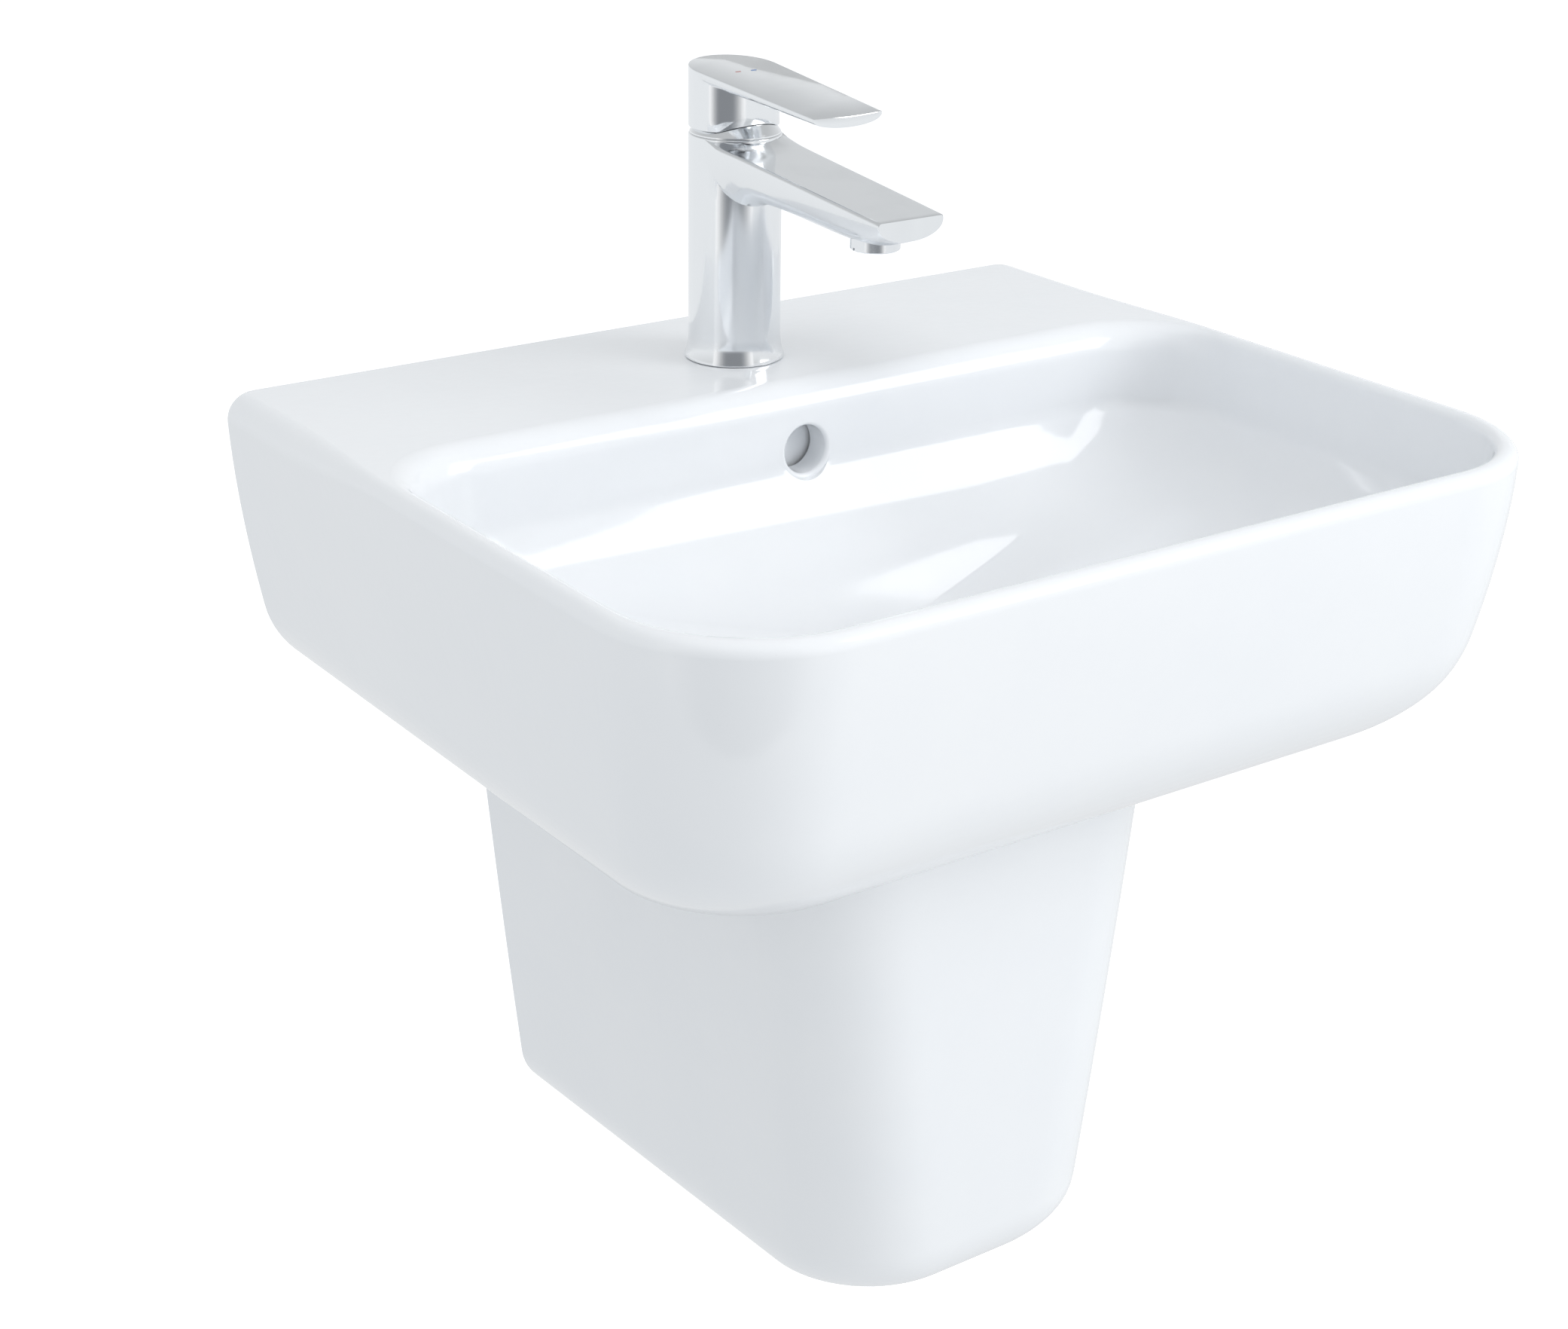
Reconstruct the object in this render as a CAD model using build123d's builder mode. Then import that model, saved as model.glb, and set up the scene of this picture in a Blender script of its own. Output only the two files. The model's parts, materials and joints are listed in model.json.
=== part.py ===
# Wall-hung washbasin on a semi-pedestal, with a single-lever mixer, a click waste and a bottle trap.
# Millimetres. The origin is midway between the basin's two wall bolts, on the wall's face.
# +X is to the viewer's right, +Y goes into the wall and +Z is up.
from build123d import *
from math import radians, sin, sqrt, tan
import os

os.makedirs("parts", exist_ok=True)

# ---- basin -------------------------------------------------------------------------------------
basin_width = 500.0
basin_depth = 420.0
basin_height = 157.0
rim_z = 75.0                 # top of the rim above the wall bolts
ceramic = 11.0               # fired thickness
outer_lip = 6.5              # rounding of the rim's outer edge
inner_lip = 4.0
rim_crest = 0.6              # flat between the two lips
front_corner = 75.0
side_batter = 24.0           # how far the sides draw in above their lower rounding
front_batter = 26.0
side_rounding = 45.0
front_rounding = 64.0
back_wall = 12.0
deck_depth = 139.0           # from the wall to the bowl's back wall
deck_edge = 15.0             # soft edge between the deck and the bowl
deck_thickness = 13.0
floor_edge = 80.0            # depth where the walls' fillet meets the dished floor
bowl_fillet = 42.0
drain_depth = 114.0
drain_y = -240.0
drain_seat = 35.0
drain_hole = 23.0
boss_depth = 150.0
boss_radius = 37.0
underside_margin = 10.0      # flat ring round the opening in the underside
overflow_radius = 12.5
overflow_depth = 33.5
duct_half = 30.0
channel_half = 20.0
slot_depth = 132.0           # overflow channel and the slots in the waste
wall_bolt_spacing = 280.0
wall_bolt_hole = 8.0

# ---- semi-pedestal -----------------------------------------------------------------------------
pedestal_top = 141.0         # depth below the rim
pedestal_bottom = 449.0
pedestal_half_top = 121.5
pedestal_half_bottom = 91.5
pedestal_reach = 312.0
pedestal_reach_loss = 5.0
pedestal_taper = 0.93        # front width over back width
pedestal_wall = 9.0
pedestal_side_rounding = 30.0
pedestal_front_rounding = 38.0
pedestal_slope = 0.035       # rise of the underside towards the front
pedestal_screw_depth = 300.0
pedestal_screw_spacing = 156.0

# ---- mixer -------------------------------------------------------------------------------------
tap_y = -75.0
tap_hole = 17.5
tap_radius = 23.5
tap_foot = 25.6
foot_height = 14.0
body_height = 115.2
pocket_radius = 18.5
cartridge_radius = 17.5
pocket_floor = 70.0
port_offset = 8.5
port_radius = 5.0
stud_offset = 13.0
stud_radius = 4.0
spout_reach = 145.0
aerator_reach = 118.0
aerator_radius = 12.0
pivot_height = 100.0         # lever pivot above the deck
dome_radius = 27.9           # dome round the pivot, under the lever
bell_clearance = 0.5
bell_bottom = 118.3
lever_top = 147.3            # top of the lever over the tap's axis
lever_slope = tan(radians(5.0))
lever_reach = 96.0
ball_radius = 3.5
ball_drop = 9.0
blade_width = 8.0
blade_depth = 7.0

# ---- waste and trap ----------------------------------------------------------------------------
waste_radius = 20.5
waste_bore = 17.0
flange_radius = 31.5
waste_end = 186.0            # depth of the waste tube's lower end
pipe_radius = 16.0
pipe_bore = 14.5
spigot_radius = 15.8         # end of the pipe that goes into the wall's socket
spigot_shoulder = 1.0
cup_radius = 30.0
outlet_depth = 262.0
wall_pipe = 45.0             # pipe and screws that go into the wall
bolt_in_wall = 60.0
screw_in_wall = 45.0
wall_bolt_radius = 5.0
pedestal_screw_radius = 4.0
shank_step = 0.1             # the threads on the near side are cut a little smaller
thread_gap = 0.02

slip = 0.05                  # running clearance on a radius


def below(depth):
    return rim_z - depth


def above(height):
    return rim_z + height


def draw_in(depth, end, radius):
    """How far a quarter-round that ends at this depth has drawn in."""
    travel = min(max(depth - (end - radius), 0.0), radius)
    return radius - sqrt(radius * radius - travel * travel)


def lip_inset(depth, radius):
    rest = max(radius - max(depth, 0.0), 0.0)
    return radius - sqrt(radius * radius - rest * rest)


def round_steps(start, radius, angles):
    return [start + radius * sin(radians(angle)) for angle in angles]


def plan_outline(plane, back_half, front_half, back, front, corner, back_corner):
    """A plan outline: straight along the wall, with its corners rounded."""
    with BuildSketch(plane) as flat:
        with BuildLine():
            Polyline(
                (-back_half, back),
                (-front_half, front),
                (front_half, front),
                (back_half, back),
                close=True,
            )
        make_face()
        fillet(flat.vertices().group_by(Axis.Y)[0], corner)
        if back_corner > 0:
            fillet(flat.vertices().group_by(Axis.Y)[-1], back_corner)
    return flat.sketch


def basin_outline(depth):
    fall = depth / basin_height
    lip = lip_inset(depth, outer_lip)
    half = basin_width / 2 - lip
    half -= side_batter * fall**1.72 + draw_in(depth, basin_height, side_rounding)
    front = -basin_depth + lip
    front += front_batter * fall**1.59 + draw_in(depth, basin_height, front_rounding)
    corner = front_corner - lip - 15 * fall
    return plan_outline(Plane.XY.offset(below(depth)), half, half, 0, front, corner, 4)


def hollow_outline(depth):
    """The inside of the skirt, one ceramic thickness inside the basin's outline."""
    fall = depth / basin_height
    end = basin_height - ceramic
    half = basin_width / 2 - ceramic
    half -= side_batter * fall**1.72 + draw_in(depth, end, side_rounding - ceramic)
    front = -basin_depth + ceramic
    front += front_batter * fall**1.59 + draw_in(depth, end, front_rounding - ceramic)
    return plan_outline(Plane.XY.offset(below(depth)), half, half, -back_wall, front, 55, 4)


def bowl_outline(depth, grow=0.0):
    """The bowl's outline at a depth, or that of its underside, one thickness out and down."""
    lip = lip_inset(depth, inner_lip)
    edge = lip_inset(depth * deck_edge / (deck_edge - 1), deck_edge)
    draft = 0.07 * max(depth, 0.0)
    fillet_in = draw_in(min(depth, floor_edge - 1.5), floor_edge, bowl_fillet)
    rim = outer_lip + rim_crest + inner_lip - lip
    half = basin_width / 2 - rim - draft - fillet_in
    back = -deck_depth + edge - 0.6 * draft - fillet_in
    front = -basin_depth + rim + draft + fillet_in
    if depth > floor_edge - 1.5:
        dish = (depth - floor_edge + 1.5) / (drain_depth - floor_edge + 1.5)
        share = dish**1.25
        half += (drain_seat - half) * share
        back += (drain_y + drain_seat - back) * share
        front += (drain_y - drain_seat - front) * share
        corner = 58 + (drain_seat - 1 - 58) * share
        back_corner = 52 + (drain_seat - 1 - 52) * share
    else:
        corner = 64 + lip - 6 * depth / floor_edge
        back_corner = 50 + 2 * depth / floor_edge
    plane = Plane.XY.offset(below(depth + grow))
    return plan_outline(
        plane, half + grow, half + grow, back + grow, front - grow, corner + grow, back_corner + grow
    )


def pedestal_outline(depth, inset=0.0):
    fall = (depth - pedestal_top) / (pedestal_bottom - pedestal_top)
    bottom = pedestal_bottom - inset
    half = pedestal_half_top + (pedestal_half_bottom - pedestal_half_top) * (0.8 * fall + 0.2 * fall * fall)
    half -= inset + draw_in(depth, bottom, pedestal_side_rounding - inset)
    reach = pedestal_reach - pedestal_reach_loss * fall
    reach -= inset + draw_in(depth, bottom, pedestal_front_rounding - inset)
    corner = 52 + 6 * fall - inset
    plane = Plane(
        (0, 0, below(depth)), x_dir=(1, 0, 0), z_dir=(0, pedestal_slope * max(fall, 0.0), 1)
    )
    back = 5.0 if inset > 0 else 0.0
    return plan_outline(plane, half, half * pedestal_taper, back, -reach, corner, 0)


def d_section(reach, half, top, depth):
    """A flat-topped section with a full round underside, across a spout or a lever."""
    with BuildSketch(Plane.XZ.offset(reach - tap_y)) as section:
        with BuildLine():
            Line((-half, above(top)), (half, above(top)))
            Spline(
                (half, above(top)),
                (0.9 * half, above(top - 0.48 * depth)),
                (0.52 * half, above(top - 0.86 * depth)),
                (0, above(top - depth)),
                (-0.52 * half, above(top - 0.86 * depth)),
                (-0.9 * half, above(top - 0.48 * depth)),
                (-half, above(top)),
            )
        make_face()
    return section.sketch


def spout_top(reach):
    return 113.6 - 0.095 * reach


def save(part, label):
    part.label = label
    export_step(part, f"parts/{label}.step")


# ================================================================================================
# Ceramics
# ================================================================================================

rim_steps = [0.0] + [outer_lip - outer_lip * sin(radians(a)) for a in (60, 30, 0)]
skirt_steps = [24.0, 42.0, 60.0, 77.0] + round_steps(
    basin_height - front_rounding, front_rounding, (0, 12, 23, 33, 42, 50, 58, 66, 74, 82, 90)
)
hollow_steps = [deck_thickness, 30.0, 48.0, 66.0, 82.0] + round_steps(
    basin_height - front_rounding, front_rounding - ceramic, (0, 15, 30, 43, 55, 66, 78, 90)
)
bowl_steps = [-1.0, 0.0, 0.5, 1.9, inner_lip, 8.0, 14.0, 26.0] + round_steps(
    floor_edge - bowl_fillet, bowl_fillet, (0, 14, 27, 39, 50, 60, 69)
) + [79.5, 82.5, 87.0, 92.0, 97.0, 102.0, 107.0, 111.0, drain_depth]

with BuildPart() as bowl_underside:
    loft(sections=[bowl_outline(depth, ceramic) for depth in bowl_steps if depth >= inner_lip], ruled=True)

with BuildPart() as overflow_duct:
    with BuildSketch(Plane.YZ):
        with BuildLine():
            Polyline(
                (-115, below(0)),
                (-115, below(96)),
                (-198, below(boss_depth)),
                (drain_y, below(boss_depth)),
                (drain_y, below(80)),
                (-150, below(60)),
                (-150, below(0)),
                close=True,
            )
        make_face()
    extrude(amount=duct_half, both=True)
    with BuildSketch(Plane.XY.offset(below(boss_depth))):
        with Locations((0, drain_y)):
            Circle(boss_radius)
    extrude(amount=boss_depth - 90)

with BuildPart() as underside_space:
    loft(sections=[hollow_outline(depth) for depth in hollow_steps], ruled=True)
    bottom_half = basin_width / 2 - side_batter - side_rounding - underside_margin
    bottom_front = -basin_depth + front_batter + front_rounding + underside_margin
    add(plan_outline(Plane.XY.offset(below(basin_height + 2)), bottom_half, bottom_half,
                     -back_wall, bottom_front, 48, 4))
    extrude(amount=30)
    add(bowl_underside.part, mode=Mode.SUBTRACT)
    add(overflow_duct.part, mode=Mode.SUBTRACT)

with BuildPart() as basin:
    loft(sections=[basin_outline(depth) for depth in rim_steps + skirt_steps], ruled=True)
    loft(sections=[bowl_outline(depth) for depth in bowl_steps], ruled=True, mode=Mode.SUBTRACT)
    add(underside_space.part, mode=Mode.SUBTRACT)
    with BuildSketch(Plane.YZ):
        with BuildLine():
            Polyline(
                (-124, below(20)),
                (-124, below(88)),
                (-204, below(slot_depth + 7)),
                (drain_y - 27, below(slot_depth + 7)),
                (drain_y - 27, below(slot_depth - 7)),
                (-214, below(slot_depth - 7)),
                (-131, below(80)),
                (-131, below(20)),
                close=True,
            )
        make_face()
    extrude(amount=channel_half, both=True, mode=Mode.SUBTRACT)
    with BuildSketch(Plane.XZ.offset(126)):
        with Locations((0, below(overflow_depth))):
            Circle(overflow_radius)
    extrude(amount=40, mode=Mode.SUBTRACT)
    with BuildSketch(Plane.XY.offset(below(boss_depth + 1))):
        with Locations((0, drain_y)):
            Circle(drain_hole)
    extrude(amount=60, mode=Mode.SUBTRACT)
    with BuildSketch(Plane.XY.offset(below(deck_thickness + 1))):
        with Locations((0, tap_y)):
            Circle(tap_hole)
    extrude(amount=deck_thickness + 2, mode=Mode.SUBTRACT)
    with BuildSketch(Plane.XZ.offset(-1)):
        with GridLocations(wall_bolt_spacing, 1, 2, 1):
            Circle(wall_bolt_hole)
    extrude(amount=back_wall + 2, mode=Mode.SUBTRACT)
    with BuildSketch(Plane.XZ.offset(-1)):
        with Locations((0, below(basin_height - 8))):
            RectangleRounded(2 * pedestal_half_top + 4, 44, 4)
    extrude(amount=back_wall + 2, mode=Mode.SUBTRACT)
save(basin.part, "basin")

with BuildPart() as semi_pedestal:
    steps = [pedestal_top, 190.0, 240.0, 290.0, 340.0, 385.0] + round_steps(
        pedestal_bottom - pedestal_front_rounding, pedestal_front_rounding, (0, 15, 28, 40, 52, 64, 77, 90)
    )
    inner_steps = [pedestal_top - 4, 190.0, 240.0, 290.0, 340.0, 385.0] + round_steps(
        pedestal_bottom - pedestal_front_rounding,
        pedestal_front_rounding - pedestal_wall,
        (0, 18, 35, 52, 70, 90),
    )
    loft(sections=[pedestal_outline(depth) for depth in steps], ruled=True)
    loft(
        sections=[pedestal_outline(depth, pedestal_wall) for depth in inner_steps],
        ruled=True,
        mode=Mode.SUBTRACT,
    )
    with BuildSketch(Plane.XY.offset(below(pedestal_bottom + 20))):
        with Locations((0, -42)):
            RectangleRounded(118, 90, 14)
    extrude(amount=60, mode=Mode.SUBTRACT)
    lug_reach = 103.0
    lug_inner = 60.0
    with BuildSketch(Plane.XZ):
        with Locations(
            (-(lug_reach + lug_inner) / 2, below(pedestal_screw_depth)),
            ((lug_reach + lug_inner) / 2, below(pedestal_screw_depth)),
        ):
            RectangleRounded(lug_reach - lug_inner, 38, 6)
    extrude(amount=14)
    with BuildSketch(Plane.XZ.offset(-1)):
        with Locations((0, below(pedestal_screw_depth))):
            with GridLocations(pedestal_screw_spacing, 1, 2, 1):
                Circle(5.5)
    extrude(amount=16, mode=Mode.SUBTRACT)
save(semi_pedestal.part, "semi_pedestal")

# ================================================================================================
# Wall fixings, on both sides at once
# ================================================================================================

with BuildPart() as basin_hanger_bolts:
    with BuildSketch(Plane.XZ.offset(-bolt_in_wall)):
        with GridLocations(wall_bolt_spacing, 1, 2, 1):
            Circle(wall_bolt_radius)
    extrude(amount=bolt_in_wall - spigot_shoulder)
    with BuildSketch(Plane.XZ.offset(-spigot_shoulder)):
        with GridLocations(wall_bolt_spacing, 1, 2, 1):
            Circle(wall_bolt_radius - shank_step)
    extrude(amount=spigot_shoulder + 36)
    chamfer(basin_hanger_bolts.edges().group_by(Axis.Y)[0], 1)
    chamfer(basin_hanger_bolts.edges().group_by(Axis.Y)[-1], 2)
save(basin_hanger_bolts.part, "basin_hanger_bolts")

with BuildPart() as basin_bolt_sleeves:
    with BuildSketch(Plane.XZ):
        with GridLocations(wall_bolt_spacing, 1, 2, 1):
            Circle(7.8)
            Circle(5.1, mode=Mode.SUBTRACT)
    extrude(amount=back_wall)
    with BuildSketch(Plane.XZ.offset(back_wall)):
        with GridLocations(wall_bolt_spacing, 1, 2, 1):
            Circle(14)
            Circle(5.1, mode=Mode.SUBTRACT)
    extrude(amount=3)
save(basin_bolt_sleeves.part, "basin_bolt_sleeves")

with BuildPart() as basin_bolt_washers:
    with BuildSketch(Plane.XZ.offset(back_wall + 3)):
        with GridLocations(wall_bolt_spacing, 1, 2, 1):
            Circle(13)
            Circle(5.3, mode=Mode.SUBTRACT)
    extrude(amount=2.5)
save(basin_bolt_washers.part, "basin_bolt_washers")

with BuildPart() as basin_bolt_nuts:
    with BuildSketch(Plane.XZ.offset(back_wall + 5.5)):
        with GridLocations(wall_bolt_spacing, 1, 2, 1):
            RegularPolygon(8.5, 6, major_radius=False)
            Circle(wall_bolt_radius - shank_step + thread_gap, mode=Mode.SUBTRACT)
    extrude(amount=8)
    chamfer(basin_bolt_nuts.faces().sort_by(Axis.Y)[:2].edges().filter_by(GeomType.LINE), 0.8)
save(basin_bolt_nuts.part, "basin_bolt_nuts")

screw_plane = Plane((0, 0, below(pedestal_screw_depth)), x_dir=(1, 0, 0), z_dir=(0, -1, 0))

with BuildPart() as pedestal_hanger_screws:
    with BuildSketch(screw_plane.offset(-screw_in_wall)):
        with GridLocations(pedestal_screw_spacing, 1, 2, 1):
            Circle(pedestal_screw_radius)
    extrude(amount=screw_in_wall - spigot_shoulder)
    with BuildSketch(screw_plane.offset(-spigot_shoulder)):
        with GridLocations(pedestal_screw_spacing, 1, 2, 1):
            Circle(pedestal_screw_radius - shank_step)
    extrude(amount=spigot_shoulder + 34)
    chamfer(pedestal_hanger_screws.edges().group_by(Axis.Y)[0], 1)
    chamfer(pedestal_hanger_screws.edges().group_by(Axis.Y)[-1], 1.6)
save(pedestal_hanger_screws.part, "pedestal_hanger_screws")

with BuildPart() as pedestal_screw_washers:
    with BuildSketch(screw_plane.offset(14)):
        with GridLocations(pedestal_screw_spacing, 1, 2, 1):
            Circle(12)
            Circle(4.2, mode=Mode.SUBTRACT)
    extrude(amount=3)
save(pedestal_screw_washers.part, "pedestal_screw_washers")

with BuildPart() as pedestal_screw_nuts:
    with BuildSketch(screw_plane.offset(17)):
        with GridLocations(pedestal_screw_spacing, 1, 2, 1):
            RegularPolygon(6.5, 6, major_radius=False)
            Circle(pedestal_screw_radius - shank_step + thread_gap, mode=Mode.SUBTRACT)
    extrude(amount=8)
    chamfer(pedestal_screw_nuts.faces().sort_by(Axis.Y)[:2].edges().filter_by(GeomType.LINE), 0.7)
save(pedestal_screw_nuts.part, "pedestal_screw_nuts")

# ================================================================================================
# Mixer body and its fixing through the deck
# ================================================================================================

tap_axis = Plane((0, tap_y, rim_z))
spout_steps = (
    (6.0, 21.5, 33.0),
    (34.0, 21.0, 25.0),
    (62.0, 20.6, 22.4),
    (90.0, 20.2, 21.3),
    (118.0, 19.8, 19.5),
    (134.0, 19.5, 15.0),
    (spout_reach, 19.2, 10.5),
)

aerator_seat = spout_top(aerator_reach) - 12

with BuildPart() as tap_body:
    with BuildSketch(Plane((0, tap_y, rim_z), x_dir=(1, 0, 0), z_dir=(0, -1, 0))):
        with BuildLine():
            Polyline(
                (0, 1.2),
                (24.6, 1.2),
                (24.6, 0),
                (tap_foot, 0),
                (tap_foot, 1.6),
            )
            ThreePointArc(
                (tap_foot, 1.6), (tap_radius + 0.75, foot_height * 0.45), (tap_radius + 0.1, foot_height)
            )
            Polyline(
                (tap_radius + 0.1, foot_height),
                (tap_radius, body_height - 0.8),
                (tap_radius - 0.8, body_height),
                (0, body_height),
                (0, 1.2),
            )
        make_face()
    revolve(axis=Axis((0, tap_y, 0), (0, 0, 1)))
    loft(sections=[d_section(reach, half, spout_top(reach), depth) for reach, half, depth in spout_steps])
    with BuildSketch(tap_axis.offset(pocket_floor)):
        Circle(pocket_radius)
    extrude(amount=60, mode=Mode.SUBTRACT)
    with BuildSketch(tap_axis.offset(-1)):
        Circle(19.6)
        with Locations((-port_offset, -1), (port_offset, -1)):
            Circle(port_radius + 2, mode=Mode.SUBTRACT)
        with Locations((0, stud_offset)):
            Circle(stud_radius + 2.4, mode=Mode.SUBTRACT)
    extrude(amount=pocket_floor - 3, mode=Mode.SUBTRACT)
    with BuildSketch(tap_axis.offset(-1)):
        with Locations((-port_offset, -1), (port_offset, -1)):
            Circle(port_radius)
    extrude(amount=15, mode=Mode.SUBTRACT)
    with BuildSketch(tap_axis.offset(10)):
        with Locations((-port_offset, -1), (port_offset, -1)):
            Circle(3.5)
    extrude(amount=62, mode=Mode.SUBTRACT)
    with BuildSketch(tap_axis.offset(-1)):
        with Locations((0, stud_offset)):
            Circle(stud_radius)
    extrude(amount=15, mode=Mode.SUBTRACT)
    with BuildSketch(tap_axis.offset(aerator_seat)):
        with Locations((0, -aerator_reach)):
            Circle(aerator_radius)
    extrude(amount=-20, mode=Mode.SUBTRACT)
    with BuildSketch(tap_axis.offset(aerator_seat - 1)):
        with Locations((0, -aerator_reach)):
            Circle(7)
    extrude(amount=8, mode=Mode.SUBTRACT)
    with BuildSketch(Plane((0, tap_y - 16, above(spout_top(16) - 12.5)), x_dir=(1, 0, 0),
                           z_dir=(0, -1, -0.085))):
        Circle(4.5)
    extrude(amount=aerator_reach - 16, mode=Mode.SUBTRACT)
save(tap_body.part, "tap_body")

with BuildPart() as tap_base_seal:
    with BuildSketch(tap_axis):
        Circle(24.5)
        Circle(19.8, mode=Mode.SUBTRACT)
    extrude(amount=1.15)
save(tap_base_seal.part, "tap_base_seal")

with BuildPart() as tap_stud:
    with BuildSketch(tap_axis.offset(14)):
        with Locations((0, stud_offset)):
            Circle(stud_radius)
    extrude(amount=-62)
    chamfer(tap_stud.edges().group_by(Axis.Z)[0], 0.8)
save(tap_stud.part, "tap_stud")

clamp_top = -deck_thickness

with BuildPart() as tap_clamp_gasket:
    with BuildSketch(tap_axis.offset(clamp_top)):
        Circle(24.5)
        with Locations((0, -13)):
            Rectangle(28, 41, mode=Mode.SUBTRACT)
        with Locations((0, stud_offset)):
            Circle(stud_radius + 0.3, mode=Mode.SUBTRACT)
    extrude(amount=-2)
save(tap_clamp_gasket.part, "tap_clamp_gasket")

with BuildPart() as tap_clamp_plate:
    with BuildSketch(tap_axis.offset(clamp_top - 2)):
        Circle(24)
        with Locations((0, -13)):
            Rectangle(29, 41, mode=Mode.SUBTRACT)
        with Locations((0, stud_offset)):
            Circle(stud_radius + 0.3, mode=Mode.SUBTRACT)
    extrude(amount=-2.5)
save(tap_clamp_plate.part, "tap_clamp_plate")

with BuildPart() as tap_clamp_nut:
    with BuildSketch(tap_axis.offset(clamp_top - 4.5)):
        with Locations((0, stud_offset)):
            RegularPolygon(6.5, 6, major_radius=False)
            Circle(stud_radius + 0.02, mode=Mode.SUBTRACT)
    extrude(amount=-9)
    chamfer(tap_clamp_nut.faces().sort_by(Axis.Z)[0].edges().filter_by(GeomType.LINE), 0.7)
save(tap_clamp_nut.part, "tap_clamp_nut")

# ================================================================================================
# Ceramic-disc cartridge
# ================================================================================================

housing_floor = pocket_floor + 3.0
disc_low = housing_floor + 1.0
disc_mid = disc_low + 4.0
disc_high = disc_mid + 3.5
carrier_high = pivot_height - 7.0
rotor_low = carrier_high + 0.6
flange_high = 105.0
housing_high = 108.0
nut_high = 114.6

with BuildPart() as cartridge_base:
    with BuildSketch(tap_axis.offset(pocket_floor)):
        Circle(cartridge_radius)
        with Locations((-port_offset, -1), (port_offset, -1), (0, 10)):
            Circle(3, mode=Mode.SUBTRACT)
    extrude(amount=3)
    with BuildSketch(tap_axis.offset(pocket_floor)):
        with Locations((-port_offset, -1), (port_offset, -1)):
            Circle(5.4)
            Circle(3, mode=Mode.SUBTRACT)
    extrude(amount=1, mode=Mode.SUBTRACT)
save(cartridge_base.part, "cartridge_base")

with BuildPart() as cartridge_seals:
    with BuildSketch(tap_axis.offset(pocket_floor)):
        with Locations((-port_offset, -1), (port_offset, -1)):
            Circle(5.3)
            Circle(3.7, mode=Mode.SUBTRACT)
    extrude(amount=0.95)
save(cartridge_seals.part, "cartridge_seals")

with BuildPart() as cartridge_housing:
    with BuildSketch(tap_axis.offset(housing_floor)):
        Circle(cartridge_radius)
        Circle(15.2, mode=Mode.SUBTRACT)
    extrude(amount=housing_high - housing_floor)
    with BuildSketch(tap_axis.offset(flange_high + 0.2)):
        Circle(cartridge_radius)
        Circle(12 + slip, mode=Mode.SUBTRACT)
    extrude(amount=housing_high - flange_high - 0.2)
save(cartridge_housing.part, "cartridge_housing")

with BuildPart() as fixed_disc:
    with BuildSketch(tap_axis.offset(disc_low - 1)):
        Circle(15.1)
        with Locations((-port_offset, -1), (port_offset, -1), (0, 10)):
            Circle(2.8, mode=Mode.SUBTRACT)
    extrude(amount=5)
save(fixed_disc.part, "fixed_disc")

with BuildPart() as moving_disc:
    with BuildSketch(tap_axis.offset(disc_mid + 0.05)):
        Circle(11.6)
    extrude(amount=disc_high - disc_mid - 0.05)
    with BuildSketch(tap_axis.offset(disc_mid + 0.05)):
        SlotOverall(15, 6)
    extrude(amount=2, mode=Mode.SUBTRACT)
save(moving_disc.part, "moving_disc")

with BuildPart() as disc_carrier:
    with BuildSketch(tap_axis.offset(disc_high)):
        Circle(11.4)
    extrude(amount=carrier_high - disc_high)
    with BuildSketch(tap_axis.offset(pivot_height - ball_drop - ball_radius - 0.5)):
        Rectangle(2 * ball_radius + 0.8, 2 * ball_radius + 0.8)
    extrude(amount=20, mode=Mode.SUBTRACT)
save(disc_carrier.part, "disc_carrier")

with BuildPart() as cartridge_rotor:
    with BuildSketch(tap_axis.offset(rotor_low)):
        Circle(14.2)
    extrude(amount=flange_high - rotor_low)
    with BuildSketch(tap_axis.offset(flange_high)):
        Circle(12)
    extrude(amount=7)
    with BuildSketch(tap_axis.offset(rotor_low - 1)):
        Rectangle(blade_width + 0.6, 21)
    extrude(amount=30, mode=Mode.SUBTRACT)
    with BuildSketch(Plane((-20, tap_y, above(pivot_height)), x_dir=(0, 1, 0), z_dir=(1, 0, 0))):
        Circle(1.5)
    extrude(amount=40, mode=Mode.SUBTRACT)
save(cartridge_rotor.part, "cartridge_rotor")

with BuildPart() as rotor_pin:
    with BuildSketch(Plane((-13.6, tap_y, above(pivot_height)), x_dir=(0, 1, 0), z_dir=(1, 0, 0))):
        Circle(1.5)
    extrude(amount=27.2)
save(rotor_pin.part, "rotor_pin")

with BuildPart() as cartridge_lever:
    with BuildSketch(tap_axis.offset(pivot_height - ball_drop + 1)):
        Rectangle(5.2, 4.8)
    extrude(amount=5)
    with BuildSketch(tap_axis.offset(pivot_height - 3.5)):
        Rectangle(blade_width, blade_depth)
    extrude(amount=40.5)
    with Locations((0, tap_y, above(pivot_height - ball_drop))):
        Sphere(ball_radius)
    with BuildSketch(Plane((-20, tap_y, above(pivot_height)), x_dir=(0, 1, 0), z_dir=(1, 0, 0))):
        Circle(1.5 + slip)
    extrude(amount=40, mode=Mode.SUBTRACT)
save(cartridge_lever.part, "cartridge_lever")

with BuildPart() as cartridge_nut:
    with BuildSketch(tap_axis.offset(housing_high)):
        Circle(pocket_radius - 0.02)
        Circle(13.6, mode=Mode.SUBTRACT)
    extrude(amount=nut_high - housing_high)
    with BuildSketch(tap_axis.offset(nut_high - 3)):
        with PolarLocations(17, 6):
            Circle(1.8)
    extrude(amount=4, mode=Mode.SUBTRACT)
save(cartridge_nut.part, "cartridge_nut")

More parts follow.
